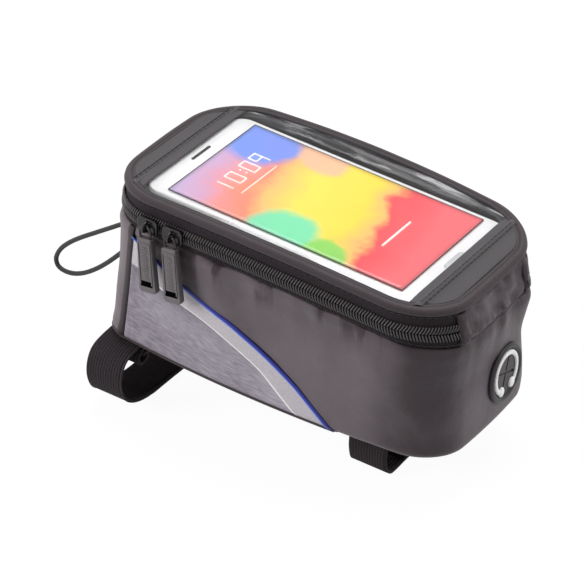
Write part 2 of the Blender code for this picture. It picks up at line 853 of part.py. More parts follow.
def port_frame():
    """Place and direction of the audio port on the rear wall."""
    side = plan(PORT_Z)[1] - plan(PORT_Z)[4]
    t = 2.5 + PORT_Y / (2 * side)
    centre = wall_point(t, PORT_Z)
    across = wall_point(t + 0.05, PORT_Z) - wall_point(t - 0.05, PORT_Z)
    upward = wall_point(t, PORT_Z + 2 * MM) - wall_point(t, PORT_Z - 2 * MM)
    normal = across.cross(upward).normalized()
    across = across.normalized()
    upward = normal.cross(across)
    frame = Matrix((across, upward, normal)).transposed().to_4x4()
    frame.translation = centre
    return frame


def port_hole():
    """Cutter for the port's neck."""
    found = bpy.data.objects.get("port_hole_guide")
    if found:
        return found
    frame = port_frame()
    bm = bmesh.new()
    bmesh.ops.create_cone(bm, cap_ends=True, segments=32, radius1=PORT_NECK + PORT_FIT,
                          radius2=PORT_NECK + PORT_FIT, depth=PORT_CUT_DEPTH)
    bmesh.ops.transform(bm, matrix=frame, verts=bm.verts)
    made = finish("port_hole_guide", bm, black_rubber(), smooth=False)
    made.hide_render = True
    made.display_type = "WIRE"
    return made


def turned(name, profile, segments, frame, surface):
    """Solid of revolution about the frame's third axis; a profile point at radius 0 is a pole."""
    bm = bmesh.new()
    loops = []
    for radius, height in profile:
        if radius == 0.0:
            loops.append([bm.verts.new((0, 0, height))])
            continue
        loop = []
        for step in range(segments):
            angle = 2 * math.pi * step / segments
            loop.append(bm.verts.new((radius * math.cos(angle), radius * math.sin(angle), height)))
        loops.append(loop)
    for first, second in zip(loops, loops[1:]):
        for i in range(segments):
            j = (i + 1) % segments
            if len(first) == 1:
                bm.faces.new((first[0], second[j], second[i]))
            elif len(second) == 1:
                bm.faces.new((first[i], first[j], second[0]))
            else:
                bm.faces.new((first[i], first[j], second[j], second[i]))
    bmesh.ops.recalc_face_normals(bm, faces=bm.faces)
    bmesh.ops.transform(bm, matrix=frame, verts=bm.verts)
    return finish(name, bm, surface)


def audio_port():
    """Rubber grommet: bead outside, neck through the wall, slit membrane inside the bead."""
    frame = port_frame()
    depth = SKIN + FOAM + CLOTH + 3 * GAP
    hollow = PORT_NECK - PORT_NECK_WALL
    back = PORT_FACE - PORT_MEMBRANE
    profile = (
        (0.0, PORT_FACE), (PORT_RADIUS - PORT_BEAD - PORT_DRAFT, PORT_FACE),
        (PORT_RADIUS - PORT_BEAD, PORT_PROUD), (PORT_RADIUS - PORT_ROUND, PORT_PROUD),
        (PORT_RADIUS, PORT_PROUD - PORT_ROUND), (PORT_RADIUS, PORT_SEAT), (PORT_NECK, PORT_SEAT),
        (PORT_NECK, -depth), (hollow, -depth), (hollow, back), (0.0, back),
    )
    made = turned("audio_port", profile, 32, frame, black_rubber())
    for index, turn in enumerate(PORT_SLIT_TURNS):
        bm = bmesh.new()
        bmesh.ops.create_cube(bm, size=1.0)
        bmesh.ops.scale(bm, vec=(PORT_SLIT_LENGTH, PORT_SLIT, SLIT_CUT_DEPTH), verts=bm.verts)
        spin = Matrix.Rotation(math.radians(turn), 4, "Z")
        bmesh.ops.transform(bm, matrix=frame @ spin, verts=bm.verts)
        slit = finish("port_slit_guide_%d" % index, bm, black_rubber(), smooth=False)
        boolean(made, slit, "DIFFERENCE")
    audio_mark(frame, PORT_FACE + GAP)


def audio_mark(frame, low):
    """Headphone sign: an open arc with a pad at each end."""
    sections = []
    for step in range(MARK_STEPS + 1):
        share = step / MARK_STEPS
        angle = MARK_START + MARK_SWEEP * share
        end = min(share, 1 - share)
        half = MARK_WIDTH / 2
        reach = MARK_PAD if end < MARK_PAD_SHARE else half
        section = []
        for radius, height in ((MARK_RADIUS - reach, low), (MARK_RADIUS + half * MARK_OUTER, low),
                               (MARK_RADIUS + half * MARK_OUTER, low + MARK_THICKNESS),
                               (MARK_RADIUS - reach, low + MARK_THICKNESS)):
            section.append(frame @ Vector((radius * math.cos(angle), radius * math.sin(angle), height)))
        sections.append(section)
    sweep("audio_mark", sections, white_rubber())


def offset_path(path, distance):
    """Path beside another one in the YZ plane, to the left of its direction."""
    moved = []
    last = len(path) - 1
    for index, (y, z) in enumerate(path):
        y0, z0 = path[max(index - 1, 0)]
        y1, z1 = path[min(index + 1, last)]
        length = math.hypot(y1 - y0, z1 - z0)
        moved.append((y - (z1 - z0) / length * distance, z + (y1 - y0) / length * distance))
    return moved


def strap_half(name, path, middle_x):
    """One half of a strap: a flat tape that follows a path in the YZ plane."""
    rows = []
    for y, z in path:
        row = [Vector((middle_x - STRAP_WIDTH / 2, y, z)), Vector((middle_x + STRAP_WIDTH / 2, y, z))]
        rows.append(row)
    return thicken(grid(name, rows, webbing()), STRAP_CLOTH, offset=0.0)


def smooth_path(points, steps):
    """Points on a smooth curve through the given ones."""
    found = []
    count = len(points)
    for index in range(count - 1):
        before = points[max(index - 1, 0)]
        start = points[index]
        stop = points[index + 1]
        after = points[min(index + 2, count - 1)]
        for step in range(steps):
            s = step / steps
            found.append(tuple(
                0.5 * ((2 * b) + (c - a) * s + (2 * a - 5 * b + 4 * c - d) * s * s
                       + (3 * b - a - 3 * c + d) * s ** 3)
                for a, b, c, d in zip(before, start, stop, after)))
    found.append(points[-1])
    return found


def to_metres(line):
    """The same line with its millimetres turned into metres."""
    return [tuple(value * MM for value in point) for point in line]


def straps():
    """Two straps under the bag, each of two halves that overlap along the bottom of the loop."""
    front_near = smooth_path(to_metres(FRONT_NEAR_LINE), 2)
    strap_half("strap_front_near", front_near, STRAP_FRONT_X)
    # The far half runs on inside the near one, up to a tongue that ends in the near lobe
    lap = STRAP_CLOTH + GAP
    inside = offset_path(list(reversed(front_near)), -lap)
    tongue = [point for point in inside if point[0] < -2 * MM and point[1] < -14 * MM]
    far = to_metres(FRONT_FAR_LINE) + tongue
    strap_half("strap_front_far", smooth_path(far, 1), STRAP_FRONT_X)
    strap_half("strap_rear_near", smooth_path(to_metres(REAR_NEAR_LINE), 2), STRAP_REAR_X)
    strap_half("strap_rear_far", smooth_path(to_metres(REAR_FAR_LINE), 2), STRAP_REAR_X)


def front_place(y, height):
    """Outline place on the front end at a distance across the bag."""
    half_length, half_width, bow, front, rear = plan(height)
    side = half_width - front
    return -2.5 - y / (2 * side)


def cord():
    """Elastic cord loop and the patch that both its ends come out of."""
    rows = []
    for step in range(5):
        height = PATCH_LOW + (PATCH_HIGH - PATCH_LOW) * step / 4
        start = front_place(CORD_Y + PATCH_WIDTH / 2, height)
        stop = front_place(CORD_Y - PATCH_WIDTH / 2, height)
        rows.append([wall_point(t, height, GAP + PATCH_THICKNESS) for t in between(start, stop, 3)])
    thicken(grid("cord_patch", rows, black_fabric()), PATCH_THICKNESS)

    curve = bpy.data.curves.new("cord_loop", "CURVE")
    curve.dimensions = "3D"
    curve.bevel_depth = CORD_DIAMETER / 2
    curve.bevel_resolution = 2
    curve.use_fill_caps = True
    spline = curve.splines.new("POLY")
    points = smooth_path(CORD_LINE, CORD_STEPS)
    spline.points.add(len(points) - 1)
    for point, (x, z) in zip(spline.points, points):
        point.co = (x * MM, CORD_Y, z * MM, 1.0)
    made = bpy.data.objects.new("cord_loop", curve)
    made.data.materials.append(webbing())
    bpy.context.scene.collection.objects.link(made)


def chain_middle(x):
    """Point in the middle of the closed zip at a place along the near side."""
    height = seam_height(x) - SPLIT_DROP
    return wall_point(near_place(x, height), height)


def slider_frame(x):
    """Frame of a slider: along the zip, into the bag, and up, with the chain's middle as its origin."""
    middle = chain_middle(x)
    step = chain_middle(x + 1 * MM) - chain_middle(x - 1 * MM)
    frame = Matrix.Rotation(math.atan2(step.y, step.x), 4, "Z")
    frame.translation = middle
    return frame


def block(name, frame, points, length, surface):
    """Solid with a section of (into the bag, up) points, centred along the zip."""
    section = [frame @ Vector((-length / 2, y, z)) for y, z in points]
    return prism(name, section, frame.to_3x3() @ Vector((length, 0, 0)), surface)


def rectangle(y0, y1, z0, z1):
    """Corner points of a rectangle."""
    return (y0, z0), (y1, z0), (y1, z1), (y0, z1)


def slider(name, frame):
    """Slider: plates before and behind the teeth, joined by a post between them, with a bail in front."""
    half_height = SLIDER_HEIGHT / 2
    half_post = SLIDER_POST / 2
    front_in = -TEETH_OUT - SLIDER_CLEARANCE
    front_out = front_in - SLIDER_PLATE
    rear_in = TEETH_IN + SLIDER_INNER_CLEARANCE
    rear_out = rear_in + SLIDER_PLATE
    profile = (
        (front_out, -half_height), (front_in, -half_height), (front_in, -half_post), (rear_in, -half_post),
        (rear_in, -half_height), (rear_out, -half_height), (rear_out, half_height), (rear_in, half_height),
        (rear_in, half_post), (front_in, half_post), (front_in, half_height), (front_out, half_height),
    )
    made = block(name, frame, profile, SLIDER_LENGTH, slider_metal())
    # The bail is a staple that stands on the front plate
    inner = BAIL_HOLE_HEIGHT / 2
    outer = inner + BAIL_BAR
    root = front_out + BAIL_ROOT
    arch = front_out - BAIL_HOLE_DEPTH
    staple = (
        (root, -outer), (arch - BAIL_BAR, -outer), (arch - BAIL_BAR, outer), (root, outer),
        (root, inner), (arch, inner), (arch, -inner), (root, -inner),
    )
    bail = block(name + "_bail_guide", frame, staple, BAIL_WIDTH, slider_metal())
    boolean(made, bail, "UNION")
    return made


def pull(name, frame):
    """Pull tab with an eye whose top bar lies in the bail; the frame's origin is on that bar."""
    half_bar = EYE_BAR / 2
    eye_low = -EYE_DROP
    surface = black_plastic()
    made = block(name, frame, rectangle(-half_bar, half_bar, eye_low, half_bar), EYE_WIDTH, surface)
    opening = rectangle(-EYE_BAR, EYE_BAR, eye_low + EYE_BAR, -half_bar)
    boolean(made, block(name + "_eye_guide", frame, opening, EYE_WIDTH - 2 * EYE_BAR, surface), "DIFFERENCE")
    top = eye_low + half_bar
    low = top - PULL_LENGTH
    half_top = PULL_TOP_WIDTH / 2
    half_end = PULL_END_WIDTH / 2
    tab_outline = (
        (-half_top, top), (-half_end, low + PULL_BEVEL), (PULL_BEVEL - half_end, low),
        (half_end - PULL_BEVEL, low), (half_end, low + PULL_BEVEL), (half_top, top),
    )
    points = [frame @ Vector((x, -PULL_THICKNESS / 2, z)) for x, z in tab_outline]
    tab = prism(name + "_tab_guide", points, frame.to_3x3() @ Vector((0, PULL_THICKNESS, 0)), surface)
    boolean(made, tab, "UNION")
    slot_low = low + PULL_SLOT_EDGE
    slot = rectangle(-PULL_THICKNESS, PULL_THICKNESS, slot_low, slot_low + PULL_SLOT_HEIGHT)
    boolean(made, block(name + "_slot_guide", frame, slot, PULL_SLOT_WIDTH, surface), "DIFFERENCE")
    return made


def sliders():
    """Both sliders with their pulls, which hang a little aslant and clear of the wall."""
    hang = Matrix.Rotation(-PULL_TILT, 4, "Y") @ Matrix.Rotation(-PULL_LEAN, 4, "X")
    for name, x in (("front", SLIDER_FRONT_X), ("rear", SLIDER_REAR_X)):
        frame = slider_frame(x)
        travel = joint_empty("slider_%s_travel" % name, frame.translation)
        place_on(slider("slider_" + name, frame), travel)
        bar_out = -TEETH_OUT - SLIDER_CLEARANCE - SLIDER_PLATE - BAIL_HOLE_DEPTH / 2
        bar_frame = frame @ Matrix.Translation((0, bar_out, 0))
        axis = joint_empty("pull_%s_axis" % name, bar_frame.translation)
        place_on(pull("pull_" + name, bar_frame @ hang), axis)
        place_on(axis, travel)


def main():
    clear_scene()
    side_wall()
    front_panel()
    grey_panels()
    stripes()
    piping()
    corner_bindings()
    wall_padding()
    wall_lining()
    floor_pieces()
    zip_pieces()
    rear_end_pieces()
    lid_binding()
    lid_skins()
    phone_pocket()
    phone()
    audio_port()
    straps()
    cord()
    sliders()


main()
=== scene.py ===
"""Looks of the bike phone bag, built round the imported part."""
import math

import bpy
import numpy as np
from mathutils import Matrix, Vector, noise


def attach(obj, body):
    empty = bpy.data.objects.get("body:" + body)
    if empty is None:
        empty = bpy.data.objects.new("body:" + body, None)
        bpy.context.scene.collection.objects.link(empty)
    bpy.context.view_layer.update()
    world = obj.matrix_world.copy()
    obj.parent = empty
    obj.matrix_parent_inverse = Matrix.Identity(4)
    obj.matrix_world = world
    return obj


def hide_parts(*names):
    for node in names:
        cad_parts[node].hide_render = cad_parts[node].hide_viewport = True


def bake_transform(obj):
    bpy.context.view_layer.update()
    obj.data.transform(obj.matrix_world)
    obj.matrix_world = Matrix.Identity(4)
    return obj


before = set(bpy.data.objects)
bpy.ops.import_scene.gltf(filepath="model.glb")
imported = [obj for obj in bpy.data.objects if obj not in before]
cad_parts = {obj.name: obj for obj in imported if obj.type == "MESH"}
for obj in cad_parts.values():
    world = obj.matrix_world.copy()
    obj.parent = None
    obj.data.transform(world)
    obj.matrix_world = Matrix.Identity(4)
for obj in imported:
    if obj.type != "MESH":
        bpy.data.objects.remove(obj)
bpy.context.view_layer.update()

MM = 0.001

# The bag's outline and layers, as in the part's source
PIECES = 10
BASE_PLAN = (96.0, 48.5, 6.0, 11.5, 22.0)
TOP_PLAN = (90.5, 51.0, 2.8, 27.5, 27.5)
END_BOW = 2.5 * MM
SEAM_HEIGHT = 86.0 * MM
SEAM_FALL = 0.039
SEAM_CROWN = 4.5 * MM
TOP_HALF_LENGTH = 90.5 * MM
BOTTOM_ROLL = 5.0 * MM
BELLY = 3.0 * MM
BELLY_FROM = 34.0 * MM
BELLY_TO = 78.0 * MM
SKIN = 0.9 * MM
FOAM = 2.4 * MM
CLOTH = 0.6 * MM
GAP = 0.3 * MM
SPLIT_DROP = 9.6 * MM
WALL_DROP = 16.7 * MM
LID_TOP_RISE = 3.0 * MM
BINDING_IN = 4.0 * MM
PHONE_X = 1.0 * MM
PHONE_TOP = 85.6 * MM
PHONE_LENGTH = 151.0 * MM
PHONE_WIDTH = 79.0 * MM
PHONE_THICKNESS = 8.3 * MM
SCREEN_LENGTH = 126.0 * MM
SCREEN_WIDTH = 71.0 * MM
SCREEN_SHAPE = 1.775
CORNER_STEPS = 10
WINDOW_FRONT = -76.0 * MM
WINDOW_REAR = 75.0 * MM
TAB_PLACE = 29.0 * MM
TAB_HALF = 3.0 * MM
PORT_HEIGHT = 25.0 * MM
PORT_SIDE = 11.5 * MM
PIPING_LINE = ((0, 41), (10, 30.5), (22, 15), (38, -15), (46, -36), (54, -55), (64, -75))
STRIPE_LINE = ((0, 22.5), (12.5, 8), (21, -3), (33, -29.5), (37, -42), (41, -57), (48.5, -75.2))
BINDING_LINE = ((0, -83), (64, -75))

# Looks only: where the trims start up the wall, how much they swell, and the sizes of stitches and teeth
WALL_FOOT = 0.03
TRIM_SWELL = 0.55
STITCH_LENGTH = 2.2 * MM
STITCH_PITCH = 3.2 * MM
TOOTH_PITCH = 1.42 * MM
TOOTH_LEAN = 0.42
TOOTH_HALF = 2.0
CHAIN_STEPS = 1600


# Outline

def plan(height):
    share = height / SEAM_HEIGHT
    return [(b + (t - b) * share) * MM for b, t in zip(BASE_PLAN, TOP_PLAN)]


def belly(height):
    share = (height - BELLY_FROM) / (BELLY_TO - BELLY_FROM)
    if share <= 0.0 or share >= 1.0:
        return 0.0
    return BELLY * math.sin(math.pi * share) ** 2


def outline(t, height):
    """Plan point: t 0 mid near side, 2 to 3 rear end, 5 mid far side, 7 to 8 front end."""
    half_length, half_width, bow, front, rear = plan(height)
    t = t % PIECES
    mirrored = t > PIECES / 2
    walk = PIECES - t if mirrored else t
    corner = front if mirrored else rear
    piece = min(int(walk), 4)
    part = walk - piece
    straight = half_length - corner
    side = half_width - corner
    angle = part * math.pi / 2
    if piece == 0:
        x, y = straight * part, -half_width
    elif piece == 1:
        x, y = straight + corner * math.sin(angle), -side - corner * math.cos(angle)
    elif piece == 2:
        x, y = half_length, -side + 2 * side * part
    elif piece == 3:
        x, y = straight + corner * math.cos(angle), side + corner * math.sin(angle)
    else:
        x, y = straight * (1 - part), half_width
    bowed_y = y * (1 - bow / half_width * (x / half_length) ** 2)
    bowed_x = x * (1 - END_BOW / half_length * (y / half_width) ** 2)
    if mirrored:
        return -bowed_x, bowed_y
    return bowed_x + belly(height) * (max(0.0, x - straight) / corner) ** 2, bowed_y


def wall_point(t, height, out=0.0):
    x0, y0 = outline(t - 0.004, height)
    x1, y1 = outline(t + 0.004, height)
    x, y = outline(t, height)
    normal = Vector((y1 - y0, x0 - x1, 0.0)).normalized()
    return Vector((x, y, height)) + normal * out


def seam_height(x):
    return SEAM_HEIGHT - SEAM_FALL * x - SEAM_CROWN * (x / TOP_HALF_LENGTH) ** 2


def seam_point(t, drop, out=0.0):
    x = outline(t, SEAM_HEIGHT - drop)[0]
    return wall_point(t, seam_height(x) - drop, out)


def near_place(x, height):
    half_length, _, _, front, rear = plan(height)
    corner = rear if x > 0 else front
    straight = half_length - corner
    if abs(x) <= straight:
        return x / straight
    return math.copysign(1 + 2 * math.asin(min(1.0, (abs(x) - straight) / corner)) / math.pi, x)


def end_place(y):
    _, half_width, _, _, rear = plan(SEAM_HEIGHT - SPLIT_DROP)
    side = half_width - rear
    if abs(y) <= side:
        return 2.5 + y / (2 * side)
    return 2.5 + math.copysign(0.5 + 2 * math.asin(min(1.0, (abs(y) - side) / rear)) / math.pi, y)


def line_at(line, height):
    """Smooth curve through a line's points, given in millimetres as (height, place along the bag)."""
    z = height / MM
    zs = [p[0] for p in line]
    k = max(0, min(len(line) - 2, sum(1 for value in zs[1:-1] if z > value)))
    p1, p2 = line[k], line[k + 1]
    p0 = line[k - 1] if k > 0 else (2 * p1[0] - p2[0], 2 * p1[1] - p2[1])
    p3 = line[k + 2] if k + 2 < len(line) else (2 * p2[0] - p1[0], 2 * p2[1] - p1[1])
    m1 = (p2[1] - p0[1]) / (p2[0] - p0[0])
    m2 = (p3[1] - p1[1]) / (p3[0] - p1[0])
    width = p2[0] - p1[0]
    s = (z - p1[0]) / width
    if s > 1.0:
        return (p2[1] + m2 * (z - p2[0])) * MM
    return ((2 * s ** 3 - 3 * s ** 2 + 1) * p1[1] + (s ** 3 - 2 * s ** 2 + s) * width * m1
            + (3 * s ** 2 - 2 * s ** 3) * p2[1] + (s ** 3 - s ** 2) * width * m2) * MM


def wall_top(x):
    return seam_height(x) - WALL_DROP


def between(start, stop, count):
    return np.linspace(start, stop, count)


def zip_ends():
    stop = end_place(-TAB_PLACE)
    return -PIECES / 2 - stop, stop


# Materials

class Shade:
    """A Principled material with short ways to add nodes."""

    def __init__(self, name, color, roughness, metallic=0.0, **sockets):
        self.material = bpy.data.materials.new(name)
        self.material.use_nodes = True
        self.tree = self.material.node_tree
        self.shader = self.tree.nodes["Principled BSDF"]
        self.color = (*color, 1.0)
        self.shader.inputs["Base Color"].default_value = self.color
        self.shader.inputs["Roughness"].default_value = roughness
        self.shader.inputs["Metallic"].default_value = metallic
        for key, value in sockets.items():
            self.shader.inputs[key.replace("_", " ")].default_value = value
        self.height = None

    def feed(self, socket, value):
        """Link a socket to another, or set its value."""
        if isinstance(value, bpy.types.NodeSocket):
            self.tree.links.new(value, socket)
        elif socket.type == "RGBA":
            socket.default_value = (*value[:3], 1.0)
        else:
            socket.default_value = value

    def node(self, kind, *values, **settings):
        made = self.tree.nodes.new("ShaderNode" + kind)
        for key, value in settings.items():
            setattr(made, key, value)
        for index, value in enumerate(values):
            self.feed(made.inputs[index], value)
        return made

    def math(self, operation, *values):
        return self.node("Math", *values, operation=operation).outputs[0]

    def uv(self):
        split = self.node("SeparateXYZ", self.node("TexCoord").outputs["UV"])
        return split.outputs[0], split.outputs[1]

    def place(self):
        return self.node("TexCoord").outputs["Object"]

    def axes(self):
        return self.node("SeparateXYZ", self.place()).outputs

    def flat(self, x, y):
        """A place made from two numbers."""
        return self.node("CombineXYZ", x, y, 0.0).outputs[0]

    def noise(self, scale, detail=3.0, where=None, rough=0.55):
        made = self.node("TexNoise", where or self.place())
        made.inputs["Scale"].default_value = scale
        made.inputs["Detail"].default_value = detail
        made.inputs["Roughness"].default_value = rough
        return made.outputs["Fac"]

    def waves(self, coordinate, period):
        """Smooth stripes from 0 to 1 across a coordinate in metres."""
        angle = self.math("MULTIPLY", coordinate, 2 * math.pi / period)
        return self.math("MULTIPLY_ADD", self.math("SINE", angle), 0.5, 0.5)

    def step(self, value, start, stop, low, high):
        """Ease from low to high as a value goes from start to stop."""
        made = self.node("MapRange", value, start, stop, low, high, interpolation_type="SMOOTHSTEP")
        return made.outputs[0]

    def blend_colors(self, factor, first, second):
        made = self.node("Mix", data_type="RGBA")
        for index, value in ((0, factor), (6, first), (7, second)):
            self.feed(made.inputs[index], value)
        return made.outputs[2]

    def gradient(self, factor, stops):
        """Colours at given shares of a factor."""
        ramp = self.node("ValToRGB", factor)
        while len(ramp.color_ramp.elements) < len(stops):
            ramp.color_ramp.elements.new(0.5)
        for element, (position, color) in zip(ramp.color_ramp.elements, stops):
            element.position = position
            element.color = (*color, 1.0)
        return ramp.outputs[0]

    def paint(self, color):
        self.tree.links.new(color, self.shader.inputs["Base Color"])
        return self

    def vary(self, share, scale):
        """Shade the base colour up and down with soft noise."""
        dark = [c * (1 - share) for c in self.color[:3]]
        light = [min(1.0, c * (1 + share)) for c in self.color[:3]]
        return self.paint(self.blend_colors(self.noise(scale), dark, light))

    def bump(self, height, distance):
        """Add a height between 0 and 1, worth a distance in metres."""
        made = self.node("Bump")
        made.inputs["Distance"].default_value = distance
        self.tree.links.new(height, made.inputs["Height"])
        if self.height:
            self.tree.links.new(self.height, made.inputs["Normal"])
        self.height = made.outputs[0]
        self.tree.links.new(self.height, self.shader.inputs["Normal"])
        return self

    def weave(self, period, distance):
        """Raised threads both ways, in metres."""
        u, v = self.uv()
        return self.bump(self.math("MULTIPLY", self.waves(u, period), self.waves(v, period)), distance)

    def rough(self, low, high, scale):
        ramp = self.math("MULTIPLY_ADD", self.noise(scale), high - low, low)
        self.tree.links.new(ramp, self.shader.inputs["Roughness"])
        return self

    def show(self, surface):
        """Use another shader as the material's surface."""
        out = next(n for n in self.tree.nodes if n.type == "OUTPUT_MATERIAL")
        self.tree.links.new(surface.outputs[0], out.inputs["Surface"])


def coated_black():
    """Coated cloth: soft blotches of its own shade of black with painted sheen, and painted shade towards
    the rear, round the near rear corner and in the puckers under the zip.
    """
    color = (0.094, 0.078, 0.088)
    made = Shade("coated_black", color, 0.5, Specular_IOR_Level=0.28, Sheen_Weight=0.06)
    x, y, z = made.axes()
    # Soft blotches in the cloth's colour; their light side is painted satin sheen
    tone_and_painted_light = made.math("MULTIPLY_ADD", made.noise(13.0, 5.0), 2.6, -0.50)
    # Painted light: lighter towards the front end, darker towards the rear
    tone_and_painted_light = made.math("ADD", tone_and_painted_light, made.math("MULTIPLY", x, -3.0))
    # Painted shade round the near rear corner
    corner = (82 * MM, -38 * MM, 0.0)
    away = made.node("VectorMath", made.flat(x, y), corner, operation="DISTANCE").outputs["Value"]
    tone_and_painted_light = made.math("SUBTRACT", tone_and_painted_light, made.step(away, 8 * MM, 34 * MM, 0.75, 0.0))
    # Painted shadow in the puckers under the zip's lower seam
    seam_z = made.math("MULTIPLY_ADD", x, -SEAM_FALL, SEAM_HEIGHT - WALL_DROP - 1 * MM)
    reach = made.step(made.math("SUBTRACT", seam_z, z), 0.0, 16 * MM, 1.0, 0.0)
    stretched = made.node("VectorMath", made.place(), (1.0, 1.0, 0.18), operation="MULTIPLY").outputs[0]
    pucker_shadow = made.step(made.noise(95.0, 3.0, stretched), 0.50, 0.62, 0.0, 0.75)
    tone_and_painted_light = made.math("SUBTRACT", tone_and_painted_light, made.math("MULTIPLY", reach, pucker_shadow))
    dark = (color[0] * 0.48, color[1] * 0.41, color[2] * 0.44)
    made.paint(made.blend_colors(tone_and_painted_light, dark, [c * 1.50 for c in color]))
    made.weave(0.6 * MM, 0.05 * MM).bump(made.noise(60.0, 4.0), 0.9 * MM)
    return made.rough(0.34, 0.60, 26.0).material


def hem_black():
    made = Shade("hem_black", (0.044, 0.034, 0.039), 0.55, Specular_IOR_Level=0.3).vary(0.15, 45.0)
    made.bump(made.waves(made.uv()[0], 0.9 * MM), 0.06 * MM)
    return made.bump(made.noise(150.0, 3.0), 0.25 * MM).material


def top_black():
    made = Shade("top_black", (0.070, 0.064, 0.069), 0.55, Specular_IOR_Level=0.25)
    return made.vary(0.08, 30.0).weave(0.8 * MM, 0.05 * MM).material


def tape_black():
    """Zip tape with a slanting weave."""
    made = Shade("tape_black", (0.036, 0.030, 0.035), 0.85, Specular_IOR_Level=0.25)
    u, v = made.uv()
    ridge = made.waves(made.math("ADD", u, v), 1.1 * MM)
    other = made.waves(made.math("SUBTRACT", u, v), 1.1 * MM)
    weave = made.math("MULTIPLY", ridge, other)
    made.paint(made.blend_colors(weave, (0.012, 0.009, 0.011), (0.062, 0.051, 0.058)))
    return made.bump(weave, 0.12 * MM).material


def webbing_black():
    """Ribbed strap webbing with a fuzz."""
    made = Shade("webbing_black", (0.022, 0.018, 0.020), 0.9, Specular_IOR_Level=0.2)
    u, v = made.uv()
    ribs = made.waves(u, 1.5 * MM)
    cross = made.waves(v, 0.9 * MM)
    both = made.math("MULTIPLY_ADD", cross, 0.35, made.math("MULTIPLY", ribs, 0.65))
    fuzz = made.math("MULTIPLY_ADD", made.noise(900.0, 2.0), 0.5, made.math("MULTIPLY", both, 0.6))
    made.paint(made.blend_colors(fuzz, (0.004, 0.003, 0.004), (0.052, 0.043, 0.048)))
    return made.bump(both, 0.35 * MM).bump(made.noise(1200.0, 2.0), 0.15 * MM).material


def loop_black():
    made = Shade("loop_black", (0.007, 0.005, 0.006), 0.95, Specular_IOR_Level=0.1).vary(0.5, 700.0)
    return made.bump(made.noise(1500.0, 3.0), 0.5 * MM).material


def grey_weave():
    """Grey cloth with short slanting streaks, and painted light that makes it lighter towards the rear."""
    made = Shade("grey_weave", (0.30, 0.272, 0.325), 0.62, Specular_IOR_Level=0.4)
    u, v = made.uv()
    slant = made.math("MULTIPLY_ADD", v, 0.30, u)
    where = made.flat(made.math("MULTIPLY", slant, 0.60), made.math("MULTIPLY", v, 1.3))
    streak = made.noise(420.0, 4.0, where)
    thread = made.math("MULTIPLY", made.waves(u, 0.9 * MM), made.waves(v, 0.9 * MM))
    strong = made.math("MULTIPLY_ADD", streak, 1.9, -0.48)
    tone = made.math("MULTIPLY_ADD", thread, 0.25, made.math("MULTIPLY", strong, 0.75))
    tone = made.math("MULTIPLY_ADD", made.noise(26.0, 3.0), 1.3, made.math("SUBTRACT", tone, 0.65))
    # Painted light: lighter towards the rear, darker towards the front end
    tone = made.math("ADD", tone, made.math("MULTIPLY_ADD", made.axes()[0], 4.5, 0.20))
    made.paint(made.blend_colors(tone, (0.185, 0.163, 0.200), (0.47, 0.435, 0.50)))
    return made.bump(streak, 0.25 * MM).bump(thread, 0.10 * MM).material


def silver_tape():
    """Grainy reflective tape with a pale lower edge."""
    made = Shade("silver_tape", (0.50, 0.46, 0.50), 0.42, Specular_IOR_Level=0.6)
    edge = made.math("LESS_THAN", made.uv()[1], 0.085)
    grain = made.noise(1400.0, 2.0)
    body = made.blend_colors(grain, (0.36, 0.33, 0.36), (0.62, 0.585, 0.62))
    made.paint(made.blend_colors(edge, body, (0.86, 0.84, 0.86)))
    return made.bump(grain, 0.08 * MM).material


# Navy blue cord, with a painted satin highlight that pales it towards one edge
PIPING_BLUE_AND_PAINTED_SHEEN = ((0.0, (0.50, 0.60, 0.86)), (0.22, (0.22, 0.36, 0.82)), (0.45, (0.045, 0.09, 0.55)),
                 (0.62, (0.008, 0.012, 0.28)), (1.0, (0.003, 0.004, 0.14)))


def blue_piping():
    made = Shade("blue_piping", (0.02, 0.05, 0.5), 0.38, Specular_IOR_Level=0.6)
    u, v = made.uv()
    # Colour across the cord: navy, with a painted highlight along one edge
    made.paint(made.gradient(v, PIPING_BLUE_AND_PAINTED_SHEEN))
    return made.bump(made.waves(u, 0.7 * MM), 0.08 * MM).material


def moulded_black(name, color, roughness, grain=700.0):
    made = Shade(name, color, roughness).vary(0.25, 300.0)
    return made.bump(made.noise(grain, 2.0), 0.06 * MM).material


def lining_cloth():
    made = Shade("lining_cloth", (0.045, 0.044, 0.048), 0.75).vary(0.2, 60.0)
    return made.weave(0.7 * MM, 0.08 * MM).material


